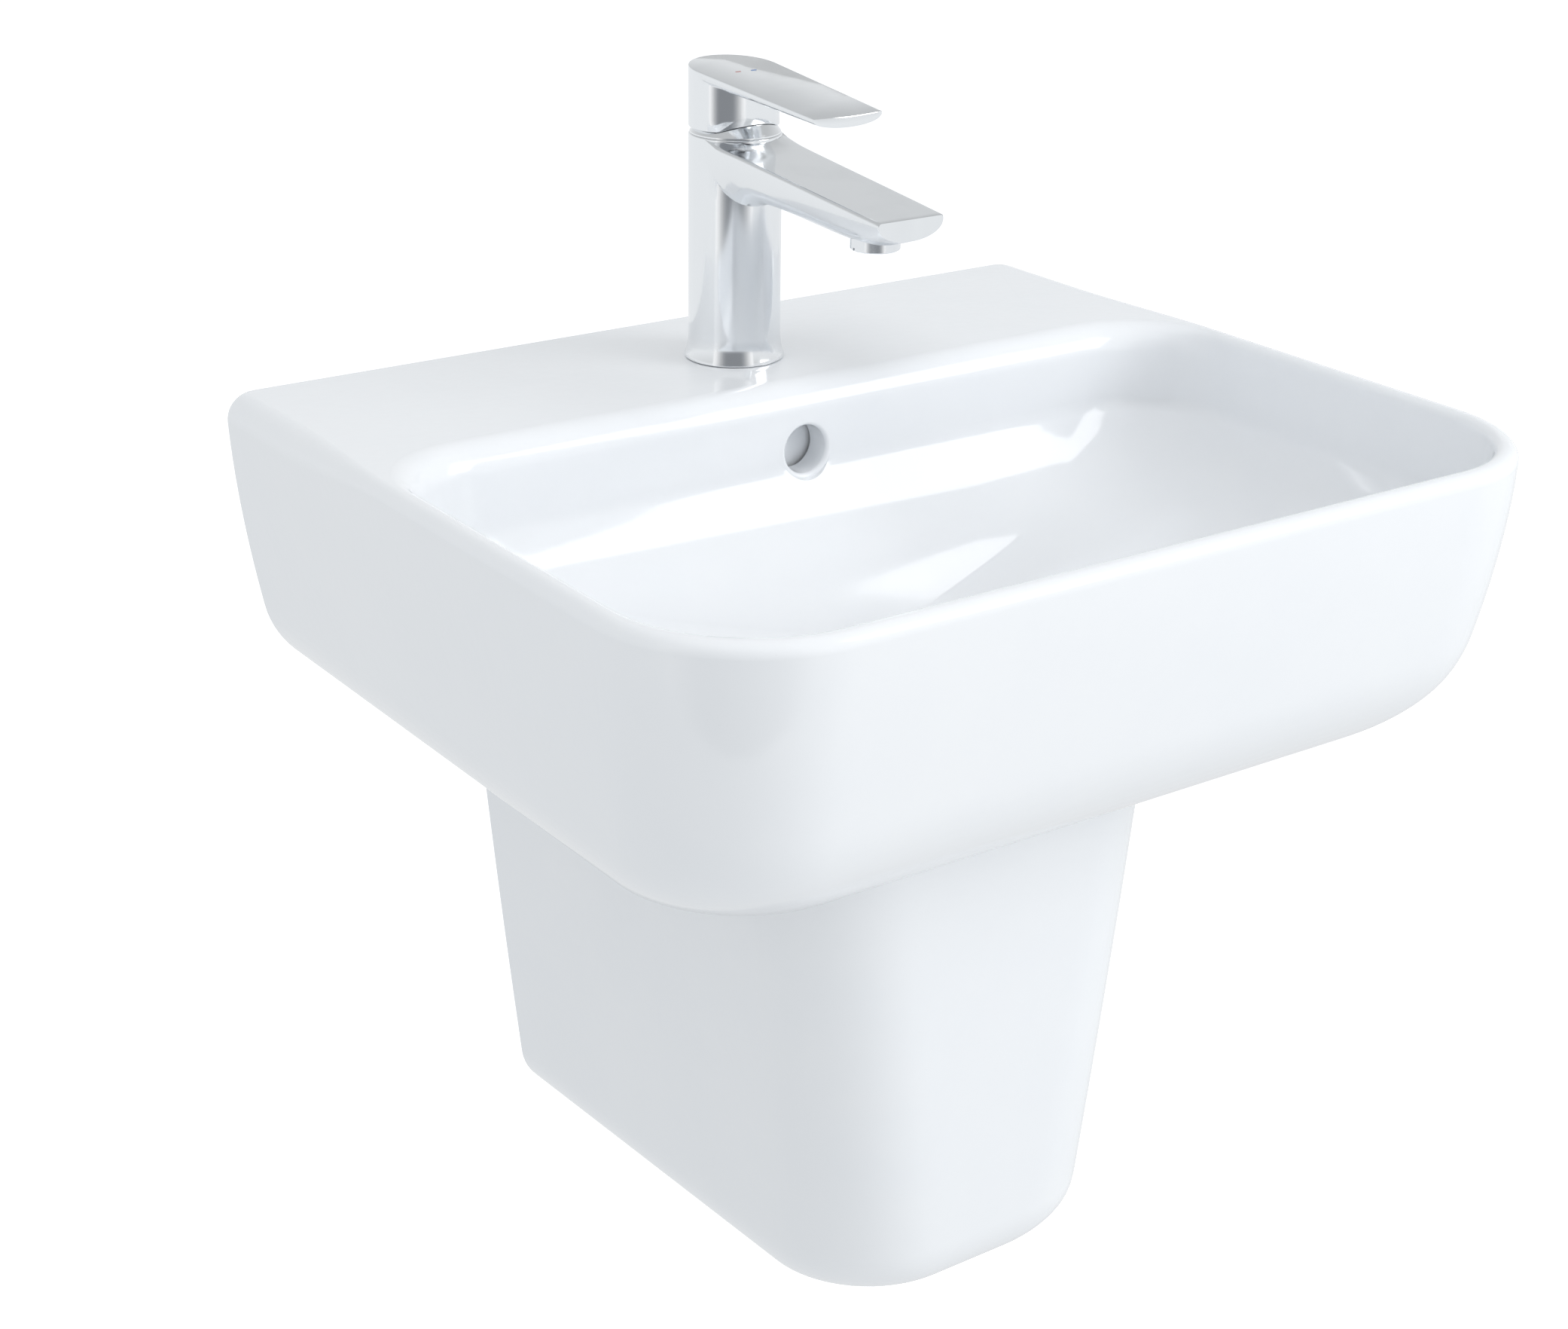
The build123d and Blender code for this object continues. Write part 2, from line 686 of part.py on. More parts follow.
with BuildPart() as neck_dome:
    with BuildSketch(tap_axis.offset(body_height + 0.02)):
        Circle(22.9)
        Circle(13.6, mode=Mode.SUBTRACT)
    extrude(amount=20)
    with Locations((0, tap_y, above(pivot_height))):
        Sphere(dome_radius, mode=Mode.INTERSECT)
    with Locations((0, tap_y, above(pivot_height))):
        Sphere(dome_radius - 3.2, mode=Mode.SUBTRACT)
save(neck_dome.part, "neck_dome")

# ================================================================================================
# Lever handle, which tilts and turns with the cartridge's lever
# ================================================================================================

top_plane = Plane((0, tap_y, above(lever_top)), x_dir=(1, 0, 0), z_dir=(0, -lever_slope, 1))

with BuildPart() as lever_handle:
    with BuildSketch(tap_axis.offset(bell_bottom)):
        with BuildLine():
            CenterArc((0, 0), tap_radius, 0, 180)
            EllipticalCenterArc((0, 0), tap_radius, 18.5, start_angle=180, arc_size=180)
        make_face()
    extrude(amount=lever_top + 4 - bell_bottom)
    with BuildSketch(Plane.YZ):
        with BuildLine():
            Polyline(
                (tap_y + 10, above(lever_top)),
                (tap_y - 20, above(lever_top - 20 * lever_slope - 9)),
                (tap_y - lever_reach, above(lever_top - lever_reach * lever_slope - 5)),
                (tap_y - lever_reach - 5, above(lever_top - lever_reach * lever_slope + 6)),
                (tap_y + 10, above(lever_top + 8)),
                close=True,
            )
        make_face()
    extrude(amount=30, both=True)
    with BuildSketch(Plane.XY.offset(above(bell_bottom - 1))):
        with BuildLine():
            CenterArc((0, tap_y), tap_radius, 0, 180)
            Line((-tap_radius, tap_y), (-20, tap_y - lever_reach + 2))
            ThreePointArc(
                (-20, tap_y - lever_reach + 2), (0, tap_y - lever_reach), (20, tap_y - lever_reach + 2)
            )
            Line((20, tap_y - lever_reach + 2), (tap_radius, tap_y))
        make_face()
    extrude(amount=50, mode=Mode.INTERSECT)
    split(bisect_by=top_plane, keep=Keep.BOTTOM)
    with Locations((0, tap_y, above(pivot_height))):
        Sphere(dome_radius + bell_clearance, mode=Mode.SUBTRACT)
    with BuildSketch(tap_axis.offset(pivot_height)):
        Rectangle(blade_width + 0.1, blade_depth + 0.1)
    extrude(amount=37.2, mode=Mode.SUBTRACT)
    with BuildSketch(Plane((0, tap_y + 30, above(133)), x_dir=(1, 0, 0), z_dir=(0, -1, 0))):
        Circle(2.5)
    extrude(amount=27, mode=Mode.SUBTRACT)
    with BuildSketch(Plane((0, tap_y + 30, above(133)), x_dir=(1, 0, 0), z_dir=(0, -1, 0))):
        Circle(3.6)
    extrude(amount=11, mode=Mode.SUBTRACT)
    for side in (-1, 1):
        with BuildSketch(top_plane.offset(0.5)):
            with Locations((side * 4.6, -9)):
                SlotOverall(3.4, 0.9)
        extrude(amount=-1.1, mode=Mode.SUBTRACT)
save(lever_handle.part, "lever_handle")

with BuildPart() as lever_grub_screw:
    with BuildSketch(Plane((0, tap_y + 3.6, above(133)), x_dir=(1, 0, 0), z_dir=(0, 1, 0))):
        Circle(2.5)
    extrude(amount=9)
    with BuildSketch(Plane((0, tap_y + 12.7, above(133)), x_dir=(1, 0, 0), z_dir=(0, -1, 0))):
        RegularPolygon(1.25, 6, major_radius=False)
    extrude(amount=3, mode=Mode.SUBTRACT)
save(lever_grub_screw.part, "lever_grub_screw")

with BuildPart() as lever_plug:
    with BuildSketch(Plane((0, tap_y + 19.2, above(133)), x_dir=(1, 0, 0), z_dir=(0, 1, 0))):
        Circle(3.55)
    extrude(amount=4)
    fillet(lever_plug.edges().group_by(Axis.Y)[-1], 0.5)
save(lever_plug.part, "lever_plug")

with BuildPart() as hot_mark:
    with BuildSketch(top_plane.offset(-0.6)):
        with Locations((-4.6, -9)):
            SlotOverall(3.4, 0.9)
    extrude(amount=0.55)
save(hot_mark.part, "hot_mark")

with BuildPart() as cold_mark:
    with BuildSketch(top_plane.offset(-0.6)):
        with Locations((4.6, -9)):
            SlotOverall(3.4, 0.9)
    extrude(amount=0.55)
save(cold_mark.part, "cold_mark")

# ================================================================================================
# Aerator
# ================================================================================================

with BuildPart() as aerator_housing:
    with BuildSketch(tap_axis.offset(aerator_seat - 0.1)):
        with Locations((0, -aerator_reach)):
            Circle(aerator_radius - 0.03)
            Circle(9.6, mode=Mode.SUBTRACT)
    extrude(amount=-10)
    chamfer(aerator_housing.edges().group_by(Axis.Z)[0], 0.5)
    with BuildSketch(tap_axis.offset(aerator_seat - 10.1)):
        with Locations((0, -aerator_reach)):
            with PolarLocations(aerator_radius, 2):
                Rectangle(1.2, 3)
    extrude(amount=1.6, mode=Mode.SUBTRACT)
save(aerator_housing.part, "aerator_housing")

with BuildPart() as aerator_insert:
    with BuildSketch(tap_axis.offset(aerator_seat - 1.6)):
        with Locations((0, -aerator_reach)):
            Circle(9.5)
    extrude(amount=-7)
    with BuildSketch(tap_axis.offset(aerator_seat - 1)):
        with Locations((0, -aerator_reach)):
            with GridLocations(3.4, 3.4, 4, 4):
                Rectangle(2.3, 2.3)
    extrude(amount=-10, mode=Mode.SUBTRACT)
save(aerator_insert.part, "aerator_insert")

with BuildPart() as aerator_seal:
    with BuildSketch(tap_axis.offset(aerator_seat - 0.1)):
        with Locations((0, -aerator_reach)):
            Circle(9.5)
            Circle(7.2, mode=Mode.SUBTRACT)
    extrude(amount=-1.5)
save(aerator_seal.part, "aerator_seal")

# ================================================================================================
# Click waste
# ================================================================================================

drain = Plane((0, drain_y, rim_z))

with BuildPart() as waste_top_seal:
    with BuildSketch(drain.offset(-drain_depth)):
        Circle(flange_radius - 1)
        Circle(waste_radius + 0.2, mode=Mode.SUBTRACT)
    extrude(amount=1.5)
save(waste_top_seal.part, "waste_top_seal")

with BuildPart() as waste_body:
    with BuildSketch(drain.offset(-drain_depth + 1.5)):
        Circle(flange_radius)
        Circle(waste_bore, mode=Mode.SUBTRACT)
    extrude(amount=3)
    chamfer(waste_body.faces().sort_by(Axis.Z)[-1].inner_wires()[0].edges(), 2)
    with BuildSketch(drain.offset(-drain_depth + 1.5)):
        Circle(waste_radius)
        Circle(waste_bore, mode=Mode.SUBTRACT)
    extrude(amount=drain_depth - 1.5 - waste_end)
    with BuildSketch(Plane.XZ.offset(-drain_y)):
        with Locations((0, below(slot_depth))):
            SlotOverall(13, 9)
    extrude(amount=30, both=True, mode=Mode.SUBTRACT)
    with BuildSketch(Plane.YZ):
        with Locations((drain_y, below(slot_depth))):
            SlotOverall(13, 9)
    extrude(amount=30, both=True, mode=Mode.SUBTRACT)
    with BuildSketch(drain.offset(-152)):
        Rectangle(2 * waste_bore + 1, 3)
        Rectangle(3, 2 * waste_bore + 1)
        Circle(8)
        Circle(6, mode=Mode.SUBTRACT)
    extrude(amount=4)
save(waste_body.part, "waste_body")

with BuildPart() as waste_under_gasket:
    with BuildSketch(drain.offset(-boss_depth)):
        Circle(31)
        Circle(waste_radius + 0.2, mode=Mode.SUBTRACT)
    extrude(amount=-4)
save(waste_under_gasket.part, "waste_under_gasket")

with BuildPart() as waste_locknut:
    with BuildSketch(drain.offset(-boss_depth - 4)):
        RegularPolygon(28, 8, major_radius=False)
        Circle(waste_radius + 0.02, mode=Mode.SUBTRACT)
    extrude(amount=-9)
    chamfer(waste_locknut.faces().sort_by(Axis.Z)[0].edges().filter_by(GeomType.LINE), 1)
save(waste_locknut.part, "waste_locknut")

# The plug rests closed. Pressing it frees it, and the spring lifts it by plug_travel.
barrel_top = drain_depth + 14
barrel_bottom = 168.0
stem_radius = 3.2
cap_low = drain_depth - 4.9

with BuildPart() as click_barrel:
    with BuildSketch(drain.offset(-barrel_bottom)):
        Circle(6 - 0.02)
        Circle(5, mode=Mode.SUBTRACT)
    extrude(amount=barrel_bottom - barrel_top)
    with BuildSketch(drain.offset(-barrel_bottom)):
        Circle(5.98)
    extrude(amount=2)
    with BuildSketch(drain.offset(-barrel_top - 2)):
        Circle(5.98)
        Circle(stem_radius + slip, mode=Mode.SUBTRACT)
    extrude(amount=2)
save(click_barrel.part, "click_barrel")

spring_low = barrel_bottom - 2
spring_high = 147.0

with BuildPart() as click_spring:
    with BuildLine():
        Helix(
            pitch=2.8,
            height=spring_low - spring_high - 1.2,
            radius=3.9,
            center=(0, drain_y, below(spring_low - 0.6)),
        )
    with BuildSketch(Plane((3.9, drain_y, below(spring_low - 0.6)), x_dir=(1, 0, 0), z_dir=(0, 1, 0.11))):
        Circle(0.5)
    sweep(is_frenet=True)
save(click_spring.part, "click_spring")

with BuildPart() as plug_stem:
    with BuildSketch(drain.offset(-spring_high + 0.3)):
        Circle(4.6)
    extrude(amount=4)
    with BuildSketch(drain.offset(-spring_high + 4)):
        Circle(stem_radius)
    extrude(amount=spring_high - 4 - cap_low)
save(plug_stem.part, "plug_stem")

with BuildPart() as plug_cap:
    with BuildSketch(Plane((0, drain_y, below(cap_low)), x_dir=(1, 0, 0), z_dir=(0, -1, 0))):
        with BuildLine():
            Polyline((0, 0), (15, 0), (15, -1.5), (17, 0), (29, 0), (29.6, 0.8), (29.6, 2.2))
            Spline((29.6, 2.2), (20, 4.3), (0, 5), tangents=((-1, 0.35), (-1, 0)))
            Line((0, 5), (0, 0))
        make_face()
    revolve(axis=Axis((0, drain_y, 0), (0, 0, 1)))
save(plug_cap.part, "plug_cap")

with BuildPart() as plug_seal:
    with BuildSketch(drain.offset(-cap_low - 3.0)):
        Circle(16.2)
        Circle(stem_radius + 0.02, mode=Mode.SUBTRACT)
    extrude(amount=1.5)
save(plug_seal.part, "plug_seal")

# ================================================================================================
# Bottle trap and its pipe to the wall
# ================================================================================================

trap_top = waste_end + 2
head_top = 214.0
head_bottom = 290.0
cup_bottom = 345.0
outlet_axis = Plane((0, drain_y, below(outlet_depth)), x_dir=(1, 0, 0), z_dir=(0, 1, 0))

with BuildPart() as trap_inlet_nut:
    with BuildSketch(drain.offset(-trap_top - 14)):
        Circle(26)
        Circle(pipe_radius + 0.3, mode=Mode.SUBTRACT)
    extrude(amount=4)
    with BuildSketch(drain.offset(-trap_top - 10)):
        Circle(26)
        Circle(waste_radius + 0.02, mode=Mode.SUBTRACT)
    extrude(amount=22)
    with BuildSketch(drain.offset(-trap_top - 14)):
        with PolarLocations(26.6, 16):
            Circle(1.6)
    extrude(amount=26, mode=Mode.SUBTRACT)
save(trap_inlet_nut.part, "trap_inlet_nut")

with BuildPart() as trap_inlet_washer:
    with BuildSketch(drain.offset(-waste_end)):
        Circle(waste_radius - 0.3)
        Circle(pipe_bore, mode=Mode.SUBTRACT)
    extrude(amount=-2)
save(trap_inlet_washer.part, "trap_inlet_washer")

with BuildPart() as trap_dip_tube:
    with BuildSketch(drain.offset(-waste_end - 2)):
        Circle(waste_radius - 0.5)
        Circle(pipe_bore, mode=Mode.SUBTRACT)
    extrude(amount=-2.5)
    with BuildSketch(drain.offset(-waste_end - 2)):
        Circle(pipe_radius)
        Circle(pipe_bore, mode=Mode.SUBTRACT)
    extrude(amount=-(322 - waste_end - 2))
save(trap_dip_tube.part, "trap_dip_tube")

with BuildPart() as trap_head:
    with BuildSketch(drain.offset(-head_bottom)):
        Circle(cup_radius)
    extrude(amount=head_bottom - head_top)
    fillet(trap_head.edges().group_by(Axis.Z)[-1], 8)
    with BuildSketch(outlet_axis):
        Circle(20.5)
    extrude(amount=52)
    with BuildSketch(drain.offset(-head_bottom)):
        Circle(cup_radius - 3.5)
    extrude(amount=head_bottom - head_top - 4, mode=Mode.SUBTRACT)
    with BuildSketch(drain.offset(-head_top - 6)):
        Circle(pipe_radius + 0.02)
    extrude(amount=12, mode=Mode.SUBTRACT)
    with BuildSketch(outlet_axis):
        Circle(pipe_radius + 0.3)
    extrude(amount=60, mode=Mode.SUBTRACT)
save(trap_head.part, "trap_head")

with BuildPart() as trap_cup:
    with BuildSketch(Plane((0, drain_y, 0), x_dir=(1, 0, 0), z_dir=(0, -1, 0))):
        with BuildLine():
            Polyline(
                (0, below(cup_bottom)),
                (cup_radius - 8, below(cup_bottom)),
                (cup_radius + 1, below(cup_bottom - 9)),
                (cup_radius + 4, below(head_bottom + 16)),
                (cup_radius + 4, below(head_bottom - 6)),
                (cup_radius + 0.02, below(head_bottom - 6)),
                (cup_radius + 0.02, below(head_bottom + 2)),
                (cup_radius - 2, below(head_bottom + 2)),
                (cup_radius - 3.5, below(cup_bottom - 10)),
                (cup_radius - 10, below(cup_bottom - 4)),
                (0, below(cup_bottom - 4)),
                close=True,
            )
        make_face()
    revolve(axis=Axis((0, drain_y, 0), (0, 0, 1)))
    with BuildSketch(drain.offset(-head_bottom - 18)):
        with PolarLocations(cup_radius + 4.6, 20):
            Circle(1.5)
    extrude(amount=26, mode=Mode.SUBTRACT)
save(trap_cup.part, "trap_cup")

with BuildPart() as trap_cup_seal:
    with BuildSketch(drain.offset(-head_bottom)):
        Circle(cup_radius - 0.1)
        Circle(cup_radius - 3.4, mode=Mode.SUBTRACT)
    extrude(amount=-1.9)
save(trap_cup_seal.part, "trap_cup_seal")

with BuildPart() as trap_outlet_nut:
    with BuildSketch(outlet_axis.offset(36)):
        Circle(25)
        Circle(20.52, mode=Mode.SUBTRACT)
    extrude(amount=18)
    with BuildSketch(outlet_axis.offset(54)):
        Circle(25)
        Circle(pipe_radius + 0.4, mode=Mode.SUBTRACT)
    extrude(amount=4)
    with BuildSketch(outlet_axis.offset(36)):
        with PolarLocations(25.5, 16):
            Circle(1.5)
    extrude(amount=22, mode=Mode.SUBTRACT)
save(trap_outlet_nut.part, "trap_outlet_nut")

with BuildPart() as trap_outlet_washer:
    with BuildSketch(outlet_axis.offset(52)):
        Circle(20.3)
        Circle(pipe_radius + 0.02, mode=Mode.SUBTRACT)
    extrude(amount=1.9)
save(trap_outlet_washer.part, "trap_outlet_washer")

with BuildPart() as trap_outlet_pipe:
    with BuildSketch(outlet_axis.offset(36)):
        Circle(pipe_radius)
        Circle(pipe_bore, mode=Mode.SUBTRACT)
    extrude(amount=-drain_y - 36 + spigot_shoulder)
    with BuildSketch(Plane.XZ.offset(-spigot_shoulder)):
        with Locations((0, below(outlet_depth))):
            Circle(spigot_radius)
            Circle(pipe_bore, mode=Mode.SUBTRACT)
    extrude(amount=spigot_shoulder - wall_pipe)
save(trap_outlet_pipe.part, "trap_outlet_pipe")

with BuildPart() as wall_escutcheon:
    with BuildSketch(Plane.XZ):
        with Locations((0, below(outlet_depth))):
            Circle(36)
            Circle(pipe_radius + 0.3, mode=Mode.SUBTRACT)
    extrude(amount=8)
    fillet(wall_escutcheon.faces().sort_by(Axis.Y)[0].outer_wire().edges(), 5)
save(wall_escutcheon.part, "wall_escutcheon")
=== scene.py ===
import json
import math

import bmesh
import bpy
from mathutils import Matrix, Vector


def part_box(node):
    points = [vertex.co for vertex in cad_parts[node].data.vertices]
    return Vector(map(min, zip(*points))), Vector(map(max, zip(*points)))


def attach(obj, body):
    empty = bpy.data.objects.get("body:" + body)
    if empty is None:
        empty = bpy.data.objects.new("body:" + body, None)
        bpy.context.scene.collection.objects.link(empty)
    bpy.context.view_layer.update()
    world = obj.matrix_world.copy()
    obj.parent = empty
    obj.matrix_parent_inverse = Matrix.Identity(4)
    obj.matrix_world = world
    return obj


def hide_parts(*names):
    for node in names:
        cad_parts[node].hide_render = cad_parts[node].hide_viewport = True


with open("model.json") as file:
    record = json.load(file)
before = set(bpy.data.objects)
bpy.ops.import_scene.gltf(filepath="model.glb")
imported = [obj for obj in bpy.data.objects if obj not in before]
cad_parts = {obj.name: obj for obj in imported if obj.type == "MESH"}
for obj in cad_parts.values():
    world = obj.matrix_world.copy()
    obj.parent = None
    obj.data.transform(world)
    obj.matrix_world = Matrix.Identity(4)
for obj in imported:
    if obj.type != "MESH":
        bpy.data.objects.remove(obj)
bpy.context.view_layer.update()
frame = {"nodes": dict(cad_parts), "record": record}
record = frame["record"]
mm = 0.001

basinLow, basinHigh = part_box("basin")
shroudLow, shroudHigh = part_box("semi_pedestal")
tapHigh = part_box("tap_body")[1]
plugLow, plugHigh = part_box("plug_cap")
rimTop = basinHigh.z / mm
mixerFoot = 25.6
mixerY = tapHigh.y / mm - mixerFoot
print("frame: loaded", len(frame["nodes"]), "nodes")


def ringOutline(corners, radii, arcSteps, straightSteps):
    # a polygon with rounded corners, always with the same number of points
    points = []
    count = len(corners)
    arcs = []
    for i in range(count):
        here = Vector(corners[i])
        before = (Vector(corners[i - 1]) - here).normalized()
        after = (Vector(corners[(i + 1) % count]) - here).normalized()
        halfAngle = before.angle(after) / 2
        radius = max(radii[i], 0.01)
        reach = radius / math.tan(halfAngle)
        centre = here + (before + after).normalized() * (radius / math.sin(halfAngle))
        start, end = here + before * reach, here + after * reach
        startTurn = math.atan2(start.y - centre.y, start.x - centre.x)
        endTurn = math.atan2(end.y - centre.y, end.x - centre.x)
        turn = (endTurn - startTurn + math.pi) % (2 * math.pi) - math.pi
        arcs.append([
            (centre.x + radius * math.cos(startTurn + turn * k / arcSteps),
             centre.y + radius * math.sin(startTurn + turn * k / arcSteps))
            for k in range(arcSteps + 1)
        ])
    for i in range(count):
        points += arcs[i]
        start, end = Vector(arcs[i][-1]), Vector(arcs[(i + 1) % count][0])
        for k in range(1, straightSteps):
            between = start.lerp(end, k / straightSteps)
            points.append((between.x, between.y))
    return points


def meshFromRings(name, rings, closeStart=True, closeEnd=True, creaseAngle=32.0):
    # rings of the same number of (x, y, z) points, skinned one after another
    build = bmesh.new()
    made = [[build.verts.new(Vector(point) * mm) for point in ring] for ring in rings]
    count = len(made[0])
    for first, second in zip(made, made[1:]):
        for k in range(count):
            m = (k + 1) % count
            build.faces.new((first[k], first[m], second[m], second[k]))
    if closeStart:
        build.faces.new(list(reversed(made[0])))
    if closeEnd:
        build.faces.new(made[-1])
    bmesh.ops.remove_doubles(build, verts=build.verts, dist=1e-6)
    bmesh.ops.dissolve_degenerate(build, edges=build.edges, dist=1e-7)
    bmesh.ops.recalc_face_normals(build, faces=build.faces)
    data = bpy.data.meshes.new(name)
    build.to_mesh(data)
    build.free()
    for face in data.polygons:
        face.use_smooth = True
    data.set_sharp_from_angle(angle=math.radians(creaseAngle))
    made = bpy.data.objects.new(name, data)
    bpy.context.scene.collection.objects.link(made)
    return made


def latheRings(profile, centre, steps=96):
    rings = []
    for radius, height in profile:
        rings.append([
            (centre[0] + radius * math.cos(2 * math.pi * k / steps),
             centre[1] + radius * math.sin(2 * math.pi * k / steps),
             height)
            for k in range(steps)
        ])
    return rings


def applyModifiers(piece):
    bpy.context.view_layer.update()
    graph = bpy.context.evaluated_depsgraph_get()
    done = bpy.data.meshes.new_from_object(piece.evaluated_get(graph))
    piece.modifiers.clear()
    old = piece.data
    piece.data = done
    bpy.data.meshes.remove(old)


def cutWith(piece, cutters, operation="DIFFERENCE"):
    for cutter in cutters:
        step = piece.modifiers.new("cut", "BOOLEAN")
        step.operation = operation
        step.solver = "EXACT"
        step.object = cutter
    applyModifiers(piece)
    for cutter in cutters:
        bpy.data.objects.remove(cutter)


def evenShading(piece, angle):
    # large faces lead the shading, so that narrow ones beside them leave no lines
    piece.data.set_sharp_from_angle(angle=math.radians(angle))
    step = piece.modifiers.new("even", "WEIGHTED_NORMAL")
    step.keep_sharp = True
    applyModifiers(piece)


def joinInto(piece, others):
    build = bmesh.new()
    build.from_mesh(piece.data)
    for other in others:
        build.from_mesh(other.data)
    build.to_mesh(piece.data)
    build.free()
    for other in others:
        bpy.data.objects.remove(other)


def arcAngles(first, last, steps):
    return [math.radians(first + (last - first) * k / steps) for k in range(steps + 1)]


def easeStep(value):
    value = min(max(value, 0.0), 1.0)
    return value * value * (3 - 2 * value)


def drawIn(depth, end, radius):
    travel = min(max(depth - (end - radius), 0.0), radius)
    return radius - math.sqrt(max(radius * radius - travel * travel, 0.0))


def lipInset(depth, radius):
    rest = min(max(radius - max(depth, 0.0), 0.0), radius)
    return radius - math.sqrt(max(radius * radius - rest * rest, 0.0))


class Wire:
    # one socket, with the sums that the finishes use
    def __init__(self, finish, socket):
        self.finish = finish
        self.socket = socket

    def sum(self, operation, first, second):
        return self.finish.node("ShaderNodeMath", {"operation": operation}, {0: first, 1: second})

    def __add__(self, other):
        return self.sum("ADD", self, other)

    def __sub__(self, other):
        return self.sum("SUBTRACT", self, other)

    def __rsub__(self, other):
        return self.sum("SUBTRACT", other, self)

    def __mul__(self, other):
        return self.sum("MULTIPLY", self, other)

    __radd__ = __add__
    __rmul__ = __mul__


class Finish:
    # the nodes of one material, or of the world
    def __init__(self, name, shelf=bpy.data.materials):
        self.owner = shelf.new(name)
        self.owner.use_nodes = True
        self.tree = self.owner.node_tree
        self.tree.nodes.clear()

    def node(self, kind, settings, inputs, output=0):
        made = self.tree.nodes.new(kind)
        for key, value in settings.items():
            if key == "stops":
                while len(made.color_ramp.elements) < len(value):
                    made.color_ramp.elements.new(0.5)
                for stop, (position, colour) in zip(made.color_ramp.elements, value):
                    stop.position = position
                    stop.color = colour
            else:
                setattr(made, key, value)
        for key, value in inputs.items():
            if isinstance(value, Wire):
                self.tree.links.new(value.socket, made.inputs[key])
            else:
                made.inputs[key].default_value = value
        return Wire(self, made.outputs[output]) if made.outputs else None

    def noise(self, scale, detail=3.0, roughness=0.55, stretch=(1, 1, 1)):
        place = self.node("ShaderNodeTexCoord", {}, {}, "Object")
        placed = self.node("ShaderNodeVectorMath", {"operation": "MULTIPLY"}, {0: place, 1: stretch})
        return self.node("ShaderNodeTexNoise", {}, {
            "Vector": placed,
            "Scale": scale,
            "Detail": detail,
            "Roughness": roughness,
        })

    def ramp(self, value, low, high):
        return self.node("ShaderNodeMapRange", {"clamp": True}, {
            "Value": value,
            "From Min": low,
            "From Max": high,
        })

    def blend(self, factor, first, second):
        return self.node("ShaderNodeMix", {"data_type": "RGBA"}, {0: factor, 6: first, 7: second}, 2)

    def bump(self, height, strength, distance):
        return self.node("ShaderNodeBump", {}, {"Height": height, "Strength": strength, "Distance": distance})

    def surface(self, inputs):
        shader = self.node("ShaderNodeBsdfPrincipled", {}, inputs)
        self.node("ShaderNodeOutputMaterial", {}, {"Surface": shader})
        return self.owner


glaze = {
    "body": (0.870, 0.888, 0.910, 1),
    "pool": (0.845, 0.867, 0.895, 1),
    "roughness": 0.09,
    "roughnessSpread": 0.05,
    "waviness": 0.05,
    "coat": 0.35,
}


def glazedCeramic():
    finish = Finish("glazedCeramic")
    drift = finish.noise(5.0, 2.0)
    cloud = finish.noise(38.0, 4.0)
    speck = finish.ramp(finish.noise(900.0, 2.0), 0.72, 0.80)
    pooled = finish.ramp(drift * 0.7 + cloud * 0.3, 0.35, 0.68)
    colour = finish.blend(pooled, glaze["body"], glaze["pool"])
    colour = finish.blend(speck * 0.25, colour, (0.70, 0.72, 0.74, 1))
    ripple = finish.noise(22.0, 1.0) * 0.8 + finish.noise(160.0, 1.0) * 0.2
    return finish.surface({
        "Base Color": colour,
        "Roughness": cloud * glaze["roughnessSpread"] + glaze["roughness"] - 0.025,
        "IOR": 1.5,
        "Coat Weight": glaze["coat"],
        "Coat Roughness": 0.04,
        "Normal": finish.bump(ripple, glaze["waviness"], 0.004),
    })


chrome = {
    "bright": (0.87, 0.885, 0.90, 1),
    "dull": (0.78, 0.795, 0.815, 1),
    "roughness": 0.11,
    "smudge": 0.10,
    "scratch": 0.02,
}


def polishedChrome():
    finish = Finish("polishedChrome")
    wipe = finish.noise(16.0, 5.0, 0.6, (1, 1, 0.35))
    smear = finish.ramp(wipe, 0.50, 0.74)
    grain = finish.noise(700.0, 2.0, 0.5, (1, 1, 0.06))
    return finish.surface({
        "Base Color": finish.blend(smear * 0.5, chrome["bright"], chrome["dull"]),
        "Metallic": 1.0,
        "Roughness": smear * chrome["smudge"] + grain * 0.02 + chrome["roughness"],
        "Normal": finish.bump(grain, chrome["scratch"], 0.0002),
    })


def plainMetal(name, light, dark, roughness, stretch):
    finish = Finish(name)
    grain = finish.noise(420.0, 3.0, 0.6, stretch)
    patch = finish.noise(45.0, 4.0)
    return finish.surface({
        "Base Color": finish.blend(finish.ramp(patch * 0.6 + grain * 0.4, 0.35, 0.65), light, dark),
        "Metallic": 1.0,
        "Roughness": grain * 0.18 + patch * 0.08 + roughness,
        "Normal": finish.bump(grain, 0.12, 0.0003),
    })


def mouldedPlastic(name, light, dark, roughness):
    finish = Finish(name)
    grain = finish.noise(900.0, 2.0)
    flow = finish.noise(24.0, 3.0, 0.5, (1, 1, 0.3))
    return finish.surface({
        "Base Color": finish.blend(finish.ramp(flow, 0.35, 0.65), light, dark),
        "Roughness": flow * 0.10 + grain * 0.06 + roughness,
        "IOR": 1.48,
        "Normal": finish.bump(grain * 0.6 + flow * 0.4, 0.08, 0.0003),
    })


